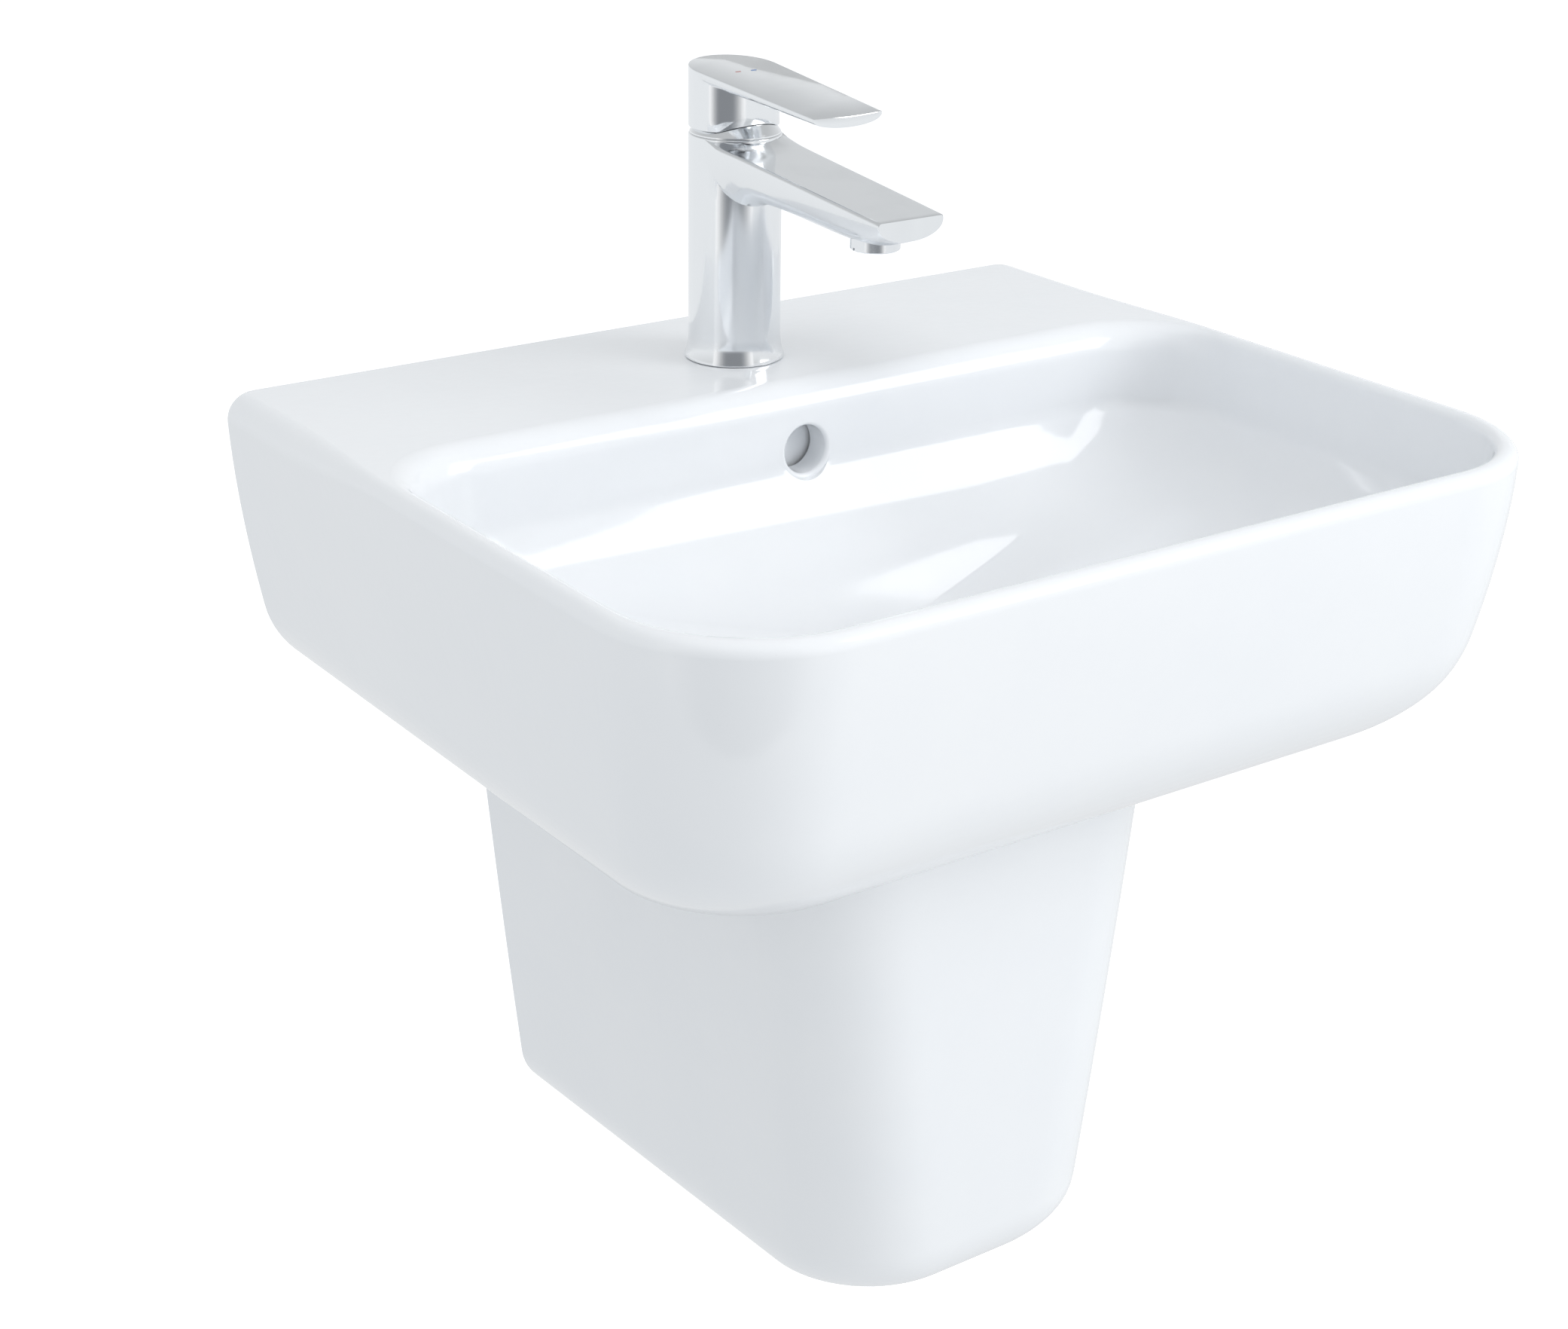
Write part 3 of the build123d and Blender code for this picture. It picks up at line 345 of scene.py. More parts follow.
finishes = {
    "glaze": glazedCeramic(),
    "chrome": polishedChrome(),
    "zinc_steel": plainMetal("zincSteel", (0.62, 0.63, 0.64, 1), (0.48, 0.49, 0.50, 1), 0.28, (1, 0.2, 1)),
    "stainless": plainMetal("stainlessSteel", (0.68, 0.69, 0.70, 1), (0.56, 0.57, 0.58, 1), 0.20, (0.2, 1, 1)),
    "brass": plainMetal("machinedBrass", (0.76, 0.60, 0.31, 1), (0.60, 0.44, 0.20, 1), 0.22, (1, 1, 0.15)),
    "alumina": mouldedPlastic("lappedAlumina", (0.88, 0.86, 0.81, 1), (0.84, 0.81, 0.75, 1), 0.25),
    "rubber": mouldedPlastic("blackRubber", (0.030, 0.030, 0.032, 1), (0.045, 0.045, 0.047, 1), 0.62),
    "white_plastic": mouldedPlastic("whitePlastic", (0.84, 0.85, 0.86, 1), (0.80, 0.81, 0.82, 1), 0.26),
    "grey_plastic": mouldedPlastic("greyPlastic", (0.40, 0.42, 0.45, 1), (0.34, 0.36, 0.39, 1), 0.42),
    "hot_red": mouldedPlastic("redEnamel", (0.50, 0.16, 0.14, 1), (0.42, 0.12, 0.10, 1), 0.30),
    "cold_blue": mouldedPlastic("blueEnamel", (0.18, 0.30, 0.56, 1), (0.14, 0.24, 0.48, 1), 0.30),
}


def dress(piece, slotName, body):
    piece.data.materials.clear()
    piece.data.materials.append(finishes[slotName])
    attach(piece, body)


for entry in record["subparts"]:
    node = frame["nodes"][entry["node"]]
    node.data.materials.clear()
    node.data.materials.append(finishes[entry["material_slot"]])
print("finishes: made", len(finishes))

basin = {
    "width": (basinHigh.x - basinLow.x) / mm,
    "depth": (basinHigh.y - basinLow.y) / mm,
    "height": (basinHigh.z - basinLow.z) / mm,
    "lip": 6.5,
    "deckLip": 13.0,          # softer edge beside the tap
    "innerLip": 4.0,
    "crest": 0.6,
    "frontCorner": 75.0,
    "sideBatter": 24.0,
    "frontBatter": 26.0,
    "sideRounding": 45.0,
    "frontRounding": 64.0,
    "wall": 11.0,
    "hollowCorner": 55.0,
    "deckDepth": 139.0,
    "deckEdge": 15.0,
    "deckThickness": 13.0,
    "floorEdge": 80.0,
    "bowlFillet": 42.0,
    "drainDepth": 114.0,
    "drainY": (plugLow.y + plugHigh.y) / 2 / mm,
    "drainSeat": 35.0,
    "overflowDepth": 33.5,
    "overflowRadius": 12.5,
    "overflowEdge": 2.6,
    "bossDepth": 150.0,
    "bossRadius": 37.0,
    "drainHole": 23.0,
    "tapHole": 17.5,
    "boltHole": 8.0,
    "notchHalf": 123.5,       # half the gap in the back wall for the semi-pedestal
    "boltSpacing": record["mounts"][0]["dims"]["spacing_x_mm"],
}
ringSteps = {"backCorner": 16, "deckSide": 18, "side": 12, "frontCorner": 22, "front": 18, "back": 22}
deckSideEnd = -176.0          # where the bowl's back corners meet its straight sides


def mirrored(right):
    # closes a ring from its right half, which runs from the back to the middle of the front
    return right + [(-x, y) for x, y in reversed(right) if abs(x) > 1e-6]


def turnPoints(centreX, centreY, radius, first, last, steps):
    return [(centreX + radius * math.cos(a), centreY + radius * math.sin(a))
            for a in arcAngles(first, last, steps)]


def linePoints(start, end, steps):
    return [(start[0] + (end[0] - start[0]) * k / steps, start[1] + (end[1] - start[1]) * k / steps)
            for k in range(1, steps)]


def frontHalf(half, front, corner, sideStart):
    turn = turnPoints(half - corner, front + corner, corner, 0, -90, ringSteps["frontCorner"])
    side = linePoints((half, sideStart), turn[0], ringSteps["side"])
    nose = linePoints(turn[-1], (0, front), ringSteps["front"])
    return [(half, sideStart)] + side + turn + nose + [(0, front)]


def outsideRing(half, back, front, frontCorner, backCorner):
    # square to the wall: small back corners, then a straight side beside the deck
    turn = turnPoints(half - backCorner, back - backCorner, backCorner, 90, 0, ringSteps["backCorner"])
    start = (half * 0.62, back)
    right = [(0, back)] + linePoints((0, back), start, ringSteps["back"]) + [start]
    right += linePoints(start, turn[0], 8) + turn
    right += linePoints(turn[-1], (half, deckSideEnd), ringSteps["deckSide"])
    return mirrored(right + frontHalf(half, front, frontCorner, deckSideEnd))


def bowlRing(half, back, front, frontCorner, backCorner):
    # the bowl: its large back corners stand for the others' deck sides
    turn = turnPoints(half - backCorner, back - backCorner, backCorner, 90, 0, ringSteps["deckSide"])
    start = ((half - backCorner) * 0.70, back)
    middle = ((half - backCorner) * 0.86, back)
    right = [(0, back)] + linePoints((0, back), start, ringSteps["back"]) + [start]
    right += linePoints(start, middle, 8) + [middle]
    right += linePoints(middle, turn[0], ringSteps["backCorner"]) + turn[:-1]
    return mirrored(right + frontHalf(half, front, frontCorner, turn[-1][1]))


def levelRing(points, depth):
    return [(x, y, rimTop - depth) for x, y in points]


def skirtOutline(depth):
    fall = depth / basin["height"]
    half = basin["width"] / 2 - basin["sideBatter"] * fall**1.72
    half -= drawIn(depth, basin["height"], basin["sideRounding"])
    front = -basin["depth"] + basin["frontBatter"] * fall**1.59
    front += drawIn(depth, basin["height"], basin["frontRounding"])
    return outsideRing(half, 0.0, front, basin["frontCorner"] - 15 * fall, 4.0)


def lipRing(angle):
    # the rounded outer edge, softer along the deck and square against the wall
    flat = skirtOutline(0.0)
    half = basin["width"] / 2
    ring = []
    for k, (x, y) in enumerate(flat):
        radius = basin["lip"] + (basin["deckLip"] - basin["lip"]) * easeStep((y + 175) / 110)
        inset = radius * (1 - math.cos(angle))
        drop = radius * (1 - math.sin(angle))
        shape = skirtOutline(drop)[k]
        if y > deckSideEnd - 1:
            ring.append((shape[0] * (half - inset) / half, shape[1], rimTop - drop))
        else:
            before, after = flat[k - 1], flat[(k + 1) % len(flat)]
            along = Vector((after[0] - before[0], after[1] - before[1])).normalized()
            out = Vector((-along.y, along.x))
            ring.append((shape[0] - out.x * inset, shape[1] - out.y * inset, rimTop - drop))
    return ring


def relaxRings(rings, first, last, times):
    # evens out the rings between two of them, which stay where they are
    count = len(rings[0])
    for _ in range(times):
        fresh = []
        for i in range(first, last):
            row, inner, outer = rings[i], rings[i - 1], rings[i + 1]
            fresh.append([
                tuple(0.5 * row[k][axis] + 0.125 * (inner[k][axis] + outer[k][axis]
                      + row[k - 1][axis] + row[(k + 1) % count][axis]) for axis in range(3))
                for k in range(count)
            ])
        rings[first:last] = fresh


def bowlOutline(depth, grow=0.0):
    lip = lipInset(depth, basin["innerLip"])
    edge = lipInset(depth * basin["deckEdge"] / (basin["deckEdge"] - 1), basin["deckEdge"])
    draft = 0.07 * max(depth, 0.0)
    floorStart = basin["floorEdge"] - 1.5
    filletIn = drawIn(min(depth, floorStart), basin["floorEdge"], basin["bowlFillet"])
    rim = basin["lip"] + basin["crest"] + basin["innerLip"] - lip
    half = basin["width"] / 2 - rim - draft - filletIn
    back = -basin["deckDepth"] + edge - 0.6 * draft - filletIn
    front = -basin["depth"] + rim + draft + filletIn
    frontCorner = 64 + lip - 6 * depth / basin["floorEdge"]
    backCorner = 50 + 2 * depth / basin["floorEdge"]
    if depth > floorStart:
        dish = (depth - floorStart) / (basin["drainDepth"] - floorStart)
        share = dish**1.25
        half += (basin["drainSeat"] - half) * share
        back += (basin["drainY"] + basin["drainSeat"] - back) * share
        front += (basin["drainY"] - basin["drainSeat"] - front) * share
        frontCorner = 58 + (basin["drainSeat"] - 1 - 58) * share
        backCorner = 52 + (basin["drainSeat"] - 1 - 52) * share
    return bowlRing(half + grow, back + grow, front - grow, frontCorner + grow, backCorner + grow)


def hollowSize(depth):
    fall = depth / basin["height"]
    end = basin["height"] - basin["wall"]
    half = basin["width"] / 2 - basin["wall"] - basin["sideBatter"] * fall**1.72
    half -= drawIn(depth, end, basin["sideRounding"] - basin["wall"])
    front = -basin["depth"] + basin["wall"] + basin["frontBatter"] * fall**1.59
    front += drawIn(depth, end, basin["frontRounding"] - basin["wall"])
    return half, front


def hollowOutline(depth):
    half, front = hollowSize(depth)
    return outsideRing(half, -12.0, front, basin["hollowCorner"], 4.0)


def heldInside(points, depth):
    # where the bowl's underside meets the skirt's wall it follows that wall
    half, front = hollowSize(depth)
    half, front, corner = half - 0.1, front + 0.1, basin["hollowCorner"]
    held = []
    for x, y in points:
        across, along = min(abs(x), half), max(y, front)
        offSide, offFront = across - half + corner, front + corner - along
        far = math.hypot(offSide, offFront)
        if offSide > 0 and offFront > 0 and far > corner:
            across = half - corner + offSide * corner / far
            along = front + corner - offFront * corner / far
        held.append((math.copysign(across, x), along))
    return held


def roundDepths(end, radius, first, last, steps):
    return [end - radius + radius * math.sin(angle) for angle in arcAngles(first, last, steps)]


def prism(name, section, halfWidth):
    # a section in Y and Z, drawn out both ways along X
    rings = [[(x, y, z) for y, z in section] for x in (-halfWidth, halfWidth)]
    return meshFromRings(name, rings)


def rod(name, centre, axis, radius, length, steps=48):
    rings = []
    for reach in (0, length):
        ring = []
        for k in range(steps):
            turn = 2 * math.pi * k / steps
            across, up = radius * math.cos(turn), radius * math.sin(turn)
            if axis == "Y":
                ring.append((centre[0] + across, centre[1] + reach, centre[2] + up))
            else:
                ring.append((centre[0] + across, centre[1] + up, centre[2] + reach))
        rings.append(ring)
    return meshFromRings(name, rings)


def makeBasin():
    height, drainY = basin["height"], basin["drainY"]
    floorStart = basin["floorEdge"] - 1.5
    dishDepths = [floorStart + (basin["drainDepth"] - floorStart) * k / 14 for k in range(14, 0, -1)]
    filletDepths = roundDepths(basin["floorEdge"], basin["bowlFillet"], 0, 74, 14)[::-1]
    wallDepths = [30.0, 22.0, 16.0, 13.6, 12.0, 10.0, 8.2, 6.6, 5.2,
                  4.0, 3.0, 2.2, 1.5, 0.95, 0.5, 0.2, 0.05, 0.0]
    middle = [(x * 0.02, drainY + (y - drainY) * 0.02) for x, y in bowlOutline(basin["drainDepth"])]
    rings = [levelRing(middle, basin["drainDepth"])]
    rings += [levelRing(bowlOutline(depth), depth) for depth in dishDepths + filletDepths + wallDepths]
    relaxRings(rings, 3, len(dishDepths) + len(filletDepths) - 1, 50)
    rings += [lipRing(angle) for angle in arcAngles(90, 0, 10)]
    skirtDepths = [16.0 + 8.0 * k for k in range(10)] + roundDepths(height, basin["frontRounding"], 0, 90, 22)
    rings += [levelRing(skirtOutline(depth), depth) for depth in skirtDepths]
    openHalf = basin["width"] / 2 - basin["sideBatter"] - basin["sideRounding"] - 10
    openFront = -basin["depth"] + basin["frontBatter"] + basin["frontRounding"] + 10
    opening = outsideRing(openHalf, -12.0, openFront, 48.0, 4.0)
    rings += [levelRing(opening, depth) for depth in (height - 0.01, height - 2, height - 9)]
    insideDepths = roundDepths(height - 7, basin["frontRounding"] - basin["wall"], 74, 0, 8)
    rings += [levelRing(hollowOutline(min(depth, height - 12)), depth) for depth in insideDepths]
    rings += [levelRing(hollowOutline(depth), depth) for depth in (70.0, 45.0, 25.0, basin["deckThickness"])]
    underDepths = [basin["innerLip"], 12.0, 26.0] + filletDepths[::-1] + dishDepths[::-1]
    for depth in underDepths:
        under = heldInside(bowlOutline(depth, basin["wall"]), depth + basin["wall"])
        rings.append(levelRing(under, depth + basin["wall"]))
    shell = meshFromRings("washbasin", rings, creaseAngle=50)
    print("washbasin: shell")

    bossTop = rimTop - basin["bossDepth"]
    boss = rod("boss", (0, drainY, bossTop), "Z", basin["bossRadius"], 33.0, 72)
    duct = prism("duct", [
        (-115, rimTop - 8), (-115, rimTop - 96), (-198, bossTop + 0.5), (drainY, bossTop + 0.5),
        (drainY, rimTop - 120), (-206, rimTop - 118), (-172, rimTop - 96), (-145, rimTop - 66),
        (-134, rimTop - 30), (-134, rimTop - 8),
    ], 30.0)
    cutWith(shell, [boss, duct], "UNION")
    channel = prism("channel", [
        (-124, rimTop - 20), (-124, rimTop - 88), (-204, rimTop - 139), (drainY - 27, rimTop - 139),
        (drainY - 27, rimTop - 125), (-214, rimTop - 125), (-131, rimTop - 80), (-131, rimTop - 20),
    ], 20.0)
    holeRadius = basin["overflowRadius"] + basin["overflowEdge"]
    overflow = rod("overflow", (0, -170, rimTop - basin["overflowDepth"]), "Y", holeRadius, 40, 96)
    drain = rod("drain", (0, drainY, rimTop - 160), "Z", basin["drainHole"], 70, 72)
    tapHole = rod("tapHole", (0, mixerY, rimTop - 20), "Z", basin["tapHole"], 40, 72)
    boltHoles = [rod("boltHole", (side * basin["boltSpacing"] / 2, -20, 0), "Y", basin["boltHole"], 40)
                 for side in (-1, 1)]
    notchHalf, notchLevel = basin["notchHalf"], rimTop - height + 8
    notchPlan = ringOutline([(notchHalf, 22), (notchHalf, -22), (-notchHalf, -22), (-notchHalf, 22)],
                            [4] * 4, 6, 2)
    notch = meshFromRings("notch", [[(x, y, notchLevel + z) for x, z in notchPlan] for y in (-12.6, 4)])
    cutWith(shell, [channel, overflow, drain, tapHole, notch] + boltHoles)
    print("washbasin: openings cut")

    # a rounded glazed edge round the overflow, from the bowl's back wall into the hole
    steps = 96
    edgeRings = []
    rounding = basin["overflowEdge"] - 0.5
    reaches = [(holeRadius + 0.02, 0), (holeRadius - 0.5, 0.0)]
    reaches += [(basin["overflowRadius"] + rounding * (1 - math.sin(a)), rounding * (1 - math.cos(a)))
                for a in arcAngles(10, 90, 8)]
    reaches += [(basin["overflowRadius"], 8), (basin["overflowRadius"], 14.5)]
    for reach, sink in reaches:
        ring = []
        for k in range(steps):
            turn = 2 * math.pi * k / steps
            depth = basin["overflowDepth"] - reach * math.sin(turn)
            edge = lipInset(depth * basin["deckEdge"] / (basin["deckEdge"] - 1), basin["deckEdge"])
            wallY = -basin["deckDepth"] + edge - 0.042 * depth
            ring.append((reach * math.cos(turn), wallY + sink, rimTop - depth))
        edgeRings.append(ring)
    edge = meshFromRings("overflowEdge", edgeRings, closeStart=False, closeEnd=False, creaseAngle=60)
    joinInto(shell, [edge])
    evenShading(shell, 42)
    dress(shell, "glaze", "basin_assembly")
    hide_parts("basin")
    return shell


washbasin = makeBasin()
print("washbasin: done", len(washbasin.data.polygons), "faces")

shroud = {
    "top": rimTop - shroudHigh.z / mm,
    "bottom": 449.0,
    "halfTop": 121.5,
    "halfBottom": 91.5,
    "reach": -shroudLow.y / mm,
    "reachLoss": 5.0,
    "taper": 0.93,
    "wall": 9.0,
    "sideRounding": 30.0,
    "frontRounding": 38.0,
    "slope": 0.035,
    "screwDepth": 300.0,
}


def shroudRing(depth, inset):
    fall = (depth - shroud["top"]) / (shroud["bottom"] - shroud["top"])
    bottom = shroud["bottom"] - inset
    half = shroud["halfTop"] + (shroud["halfBottom"] - shroud["halfTop"]) * (0.8 * fall + 0.2 * fall * fall)
    half -= inset + drawIn(depth, bottom, shroud["sideRounding"] - inset)
    reach = shroud["reach"] - shroud["reachLoss"] * fall
    reach -= inset + drawIn(depth, bottom, shroud["frontRounding"] - inset)
    corner = 52 + 6 * fall - inset
    back = 5.0 if inset else 0.0
    frontHalf = half * shroud["taper"]
    flat = ringOutline([(half, back), (frontHalf, -reach), (-frontHalf, -reach), (-half, back)],
                       [0.6, corner, corner, 0.6], 16, 12)
    return [(x, y, rimTop - depth - y * shroud["slope"] * max(fall, 0.0)) for x, y in flat]


def makeShroud():
    depths = [shroud["top"] + k * 22.0 for k in range(12)]
    depths += roundDepths(shroud["bottom"], shroud["frontRounding"], 0, 90, 18)
    outer = [shroudRing(depth, 0.0) for depth in depths]
    innerDepths = [shroud["top"] - 4 + k * 24.0 for k in range(11)]
    innerBottom, innerRounding = shroud["bottom"] - shroud["wall"], shroud["frontRounding"] - shroud["wall"]
    innerDepths += roundDepths(innerBottom, innerRounding, 0, 90, 12)
    inner = [shroudRing(depth, shroud["wall"]) for depth in innerDepths]
    shell = meshFromRings("semiPedestal", outer, creaseAngle=50)
    hollow = meshFromRings("hollow", inner)
    accessPlan = ringOutline([(59, 3), (59, -87), (-59, -87), (-59, 3)], [14] * 4, 8, 3)
    access = meshFromRings("access", [levelRing(accessPlan, depth) for depth in (470, 405)])
    cutWith(shell, [hollow, access])
    lugs = []
    for side in (-1, 1):
        middle, level = side * 81.5, rimTop - shroud["screwDepth"]
        inside, outside = middle - 21.5, middle + 21.5
        lugPlan = ringOutline([(outside, level + 19), (outside, level - 19), (inside, level - 19),
                               (inside, level + 19)], [6] * 4, 6, 2)
        lug = meshFromRings("lug", [[(x, y, z) for x, z in lugPlan] for y in (0, -14)])
        hole = rod("hole", (side * 78, -16, level), "Y", 5.5, 20)
        cutWith(lug, [hole])
        lugs.append(lug)
    joinInto(shell, lugs)
    evenShading(shell, 40)
    dress(shell, "glaze", "basin_assembly")
    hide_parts("semi_pedestal")
    return shell


makeShroud()
print("semi-pedestal: done")

mixer = {
    "y": mixerY,
    "radius": 23.5,
    "foot": mixerFoot,
    "footHeight": 14.0,
    "bodyHeight": 115.2,
    "topDrop": 113.6,
    "fall": 0.095,
    "reach": 145.0,
    "edge": 1.7,
    "scoop": 2.6,
    "pocket": 18.5,           # the bore that takes the cartridge
    "pocketFloor": 70.0,
    "aerator": 12.0,
    "aeratorReach": 118.0,
    "aeratorSeat": 90.4,
}


def makeMixerBody():
    radius, foot = mixer["radius"], mixer["foot"]
    profile = [(0.01, 0.2), (19, 0.2), (foot - 0.5, 0.2), (foot, 0.6), (foot, 1.4)]
    flare = mixer["footHeight"] - 1.4
    for k in range(1, 13):
        share = k / 12
        profile.append((foot - (foot - radius - 0.1) * (1 - (1 - share)**2.2), 1.4 + flare * share**1.05))
    for k in range(1, 8):
        height = mixer["footHeight"] + (mixer["bodyHeight"] - mixer["footHeight"] - 1.4) * k / 7
        profile.append((radius + 0.1 * (1 - k / 7), height))
    profile += [(radius - 0.9 * (1 - math.cos(a)), mixer["bodyHeight"] - 0.9 + 0.9 * math.sin(a))
                for a in arcAngles(15, 90, 5)]
    profile.append((0.01, mixer["bodyHeight"]))
    rings = latheRings([(r, rimTop + z) for r, z in profile], (0, mixer["y"]), 128)
    body = meshFromRings("mixerBody", rings, creaseAngle=35)

    # reach from the body's axis, half width and depth of each section of the spout
    widths = [(6, 22.6, 36), (16, 22.4, 33.5), (21, 22.1, 31), (25, 21.6, 28.4), (30, 21.2, 26.2),
              (38, 20.95, 24.4), (50, 20.75, 23.2), (66, 20.5, 22.3), (84, 20.3, 21.6),
              (100, 20.1, 21.0), (112, 19.9, 20.2),
              (122, 19.75, 18.9), (130, 19.6, 16.9), (137, 19.4, 14.2), (142, 19.3, 12.0),
              (144.4, 19.2, 10.9)]
    rings = []
    underSteps, topSteps = 40, 16
    edge = mixer["edge"]
    for reach, half, deep in widths + [(mixer["reach"], 18.8, 10.4)]:
        top = mixer["topDrop"] - mixer["fall"] * reach
        if reach >= mixer["reach"]:
            top -= 0.35
        ring = []
        for k in range(underSteps + 1):
            turn = math.pi * k / underSteps
            across = math.copysign(abs(math.cos(turn))**(2 / 2.1), math.cos(turn)) * half
            down = math.sin(turn)**(2 / 2.1) * (deep - edge)
            ring.append((across, top - edge - down))
        ring += [(-half + edge * (1 - math.cos(a)), top - edge * (1 - math.sin(a)))
                 for a in arcAngles(15, 90, 5)]
        for k in range(1, topSteps):
            share = k / topSteps
            across = -half + edge + 2 * (half - edge) * share
            ring.append((across, top))
        ring += [(half - edge * (1 - math.cos(a)), top - edge * (1 - math.sin(a)))
                 for a in arcAngles(90, 15, 5)]
        lifted = []
        for across, height in ring:
            if height > top - edge:
                # the flat top curls up into the body
                away = reach - math.sqrt(max(radius**2 - across**2, 0.0))
                height += mixer["scoop"] * math.exp(-max(away, 0.0) / 3.6)
            lifted.append((across, mixer["y"] - reach, rimTop + min(height, mixer["bodyHeight"] - 0.4)))
        rings.append(lifted)
    spout = meshFromRings("spout", rings, creaseAngle=38)
    pocket = rod("pocket", (0, mixer["y"], rimTop + mixer["pocketFloor"]), "Z", mixer["pocket"], 60.0, 96)
    seatPlace = (0, mixer["y"] - mixer["aeratorReach"], rimTop + mixer["aeratorSeat"] - 20)
    seat = rod("seat", seatPlace, "Z", mixer["aerator"], 20.0, 72)
    cutWith(body, [spout], "UNION")
    cutWith(body, [pocket, seat])
    evenShading(body, 38)
    dress(body, "chrome", "basin_assembly")
    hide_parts("tap_body")
    return body


makeMixerBody()
print("mixer: body and spout")

lever = {
    "reach": 96.0,
    "tipHalf": 20.0,
    "tipBulge": 2.0,
    "bellDepth": 18.5,        # the bell is shallower at the front than at the back
    "bellBottom": 118.3,
    "top": 147.3,
    "slope": math.tan(math.radians(5.0)),
    "pivot": 100.0,
    "cavity": 28.4,
    "rootThickness": 10.5,
    "tipThickness": 5.2,
    "edge": 0.5,
}


def leverTop(y):
    return lever["top"] + y * lever["slope"]


def leverUnder(x, y):
    forward = min(max(-y / lever["reach"], 0.0), 1.0)
    half = mixer["radius"] + (lever["tipHalf"] - mixer["radius"]) * forward
    if y > 0:
        half = math.sqrt(max(mixer["radius"]**2 - y * y, 0.01))
    thick = lever["rootThickness"] + (lever["tipThickness"] - lever["rootThickness"]) * forward**0.75
    belly = (1 - min(abs(x) / half, 1.0)**2.1)**(1 / 2.1)
    return leverTop(y) - 1.3 - (thick - 1.3) * belly


def makeLever():
    radius = mixer["radius"]
    rear = [(radius * math.cos(a), radius * math.sin(a)) for a in arcAngles(180, 0, 48)]
    front = [(radius * math.cos(a), lever["bellDepth"] * math.sin(a)) for a in arcAngles(0, -180, 96)][1:-1]
    plan = list(rear)
    sideSteps, tipSteps = 36, 24
    narrowing, sideReach = radius - lever["tipHalf"], lever["reach"] - lever["tipBulge"]
    for k in range(1, sideSteps):
        share = k / (sideSteps - 1)
        plan.append((radius - narrowing * share, -sideReach * share))
    for k in range(1, tipSteps + 1):
        across = lever["tipHalf"] * (1 - 2 * k / (tipSteps + 1))
        bulge = lever["tipBulge"] * (1 - (across / lever["tipHalf"])**2)
        plan.append((across, -sideReach - bulge))
    for k in range(1, sideSteps):
        share = 1 - (k - 1) / (sideSteps - 1)
        plan.append((-radius + narrowing * share, -sideReach * share))
    # the bell's outline, with as many points as the plan's
    wanted = len(plan) - len(rear)
    spread = []
    for k in range(wanted):
        place = (k + 1) / (wanted + 1) * (len(front) + 1) - 1
        low = int(math.floor(place))
        first = front[low] if low >= 0 else rear[-1]
        second = front[low + 1] if low + 1 < len(front) else rear[0]
        part = place - math.floor(place)
        spread.append((first[0] + (second[0] - first[0]) * part, first[1] + (second[1] - first[1]) * part))
    bell = rear + spread

    def cavityHeight(reach):
        return lever["pivot"] + math.sqrt(max(lever["cavity"]**2 - reach * reach, 0.0))

    mouth = math.sqrt(lever["cavity"]**2 - (lever["bellBottom"] - lever["pivot"])**2)
    rings = []
    for share in (0.02, 0.25, 0.5, 0.7, 0.85, 1.0):
        ring = []
        for x, y in bell:
            reach = math.hypot(x, y)
            inner = min(mouth, reach - 0.3) * share
            ring.append((x / reach * inner, y / reach * inner, cavityHeight(inner)))
        rings.append(ring)
    low = [max(lever["bellBottom"], cavityHeight(math.hypot(x, y))) for x, y in bell]
    rings.append([(x * 0.985, y * 0.985, z) for (x, y), z in zip(bell, low)])
    rings.append([(x, y, z + 0.4) for (x, y), z in zip(bell, low)])
    high = [leverUnder(x, y) for x, y in bell]
    for share in (0.25, 0.5, 0.75, 0.93):
        rings.append([(x, y, a + 0.4 + (b - a - 0.4) * share) for (x, y), a, b in zip(bell, low, high)])
    for share in (0.0, 0.012, 0.03, 0.07, 0.14, 0.24, 0.36, 0.48,
                  0.60, 0.70, 0.79, 0.87, 0.93, 0.97, 0.99, 1.0):
        ring = []
        for (x0, y0), (x1, y1) in zip(bell, plan):
            x, y = x0 + (x1 - x0) * share, y0 + (y1 - y0) * share
            ring.append((x, y, leverUnder(x, y)))
        rings.append(ring)
    for drop, inset in ((lever["edge"], 0.0), (0.15, 0.15), (0.0, lever["edge"])):
        ring = []
        for k, (x, y) in enumerate(plan):
            before, after = plan[k - 1], plan[(k + 1) % len(plan)]
            along = Vector((after[0] - before[0], after[1] - before[1])).normalized()
            out = Vector((-along.y, along.x))
            ring.append((x - out.x * inset, y - out.y * inset, leverTop(y - out.y * inset) - drop))
        rings.append(ring)
    placed = [[(x, y + mixer["y"], z + rimTop) for x, y, z in ring] for ring in rings]
    piece = meshFromRings("leverHandle", placed, creaseAngle=40)
    dress(piece, "chrome", "lever")
    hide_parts("lever_handle")
    return piece


makeLever()


def makeMark(name, slotName, side, nodeName):
    # a short enamel bar, just proud of the lever's top
    flat = ringOutline([(1.7, 0.45), (1.7, -0.45), (-1.7, -0.45), (-1.7, 0.45)], [0.44] * 4, 8, 2)
    rings = []
    for grow, lift in ((1.0, -0.4), (1.0, 0.02), (0.9, 0.06)):
        ring = []
        for x, y in flat:
            px, py = side * 4.6 + x * grow, -9 + y * grow
            ring.append((px, mixer["y"] + py, rimTop + leverTop(py) + lift))
        rings.append(ring)
    piece = meshFromRings(name, rings)
    dress(piece, slotName, "lever")
    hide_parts(nodeName)
    return piece


makeMark("hotMark", "hot_red", -1, "hot_mark")
makeMark("coldMark", "cold_blue", 1, "cold_mark")
print("mixer: lever and marks")


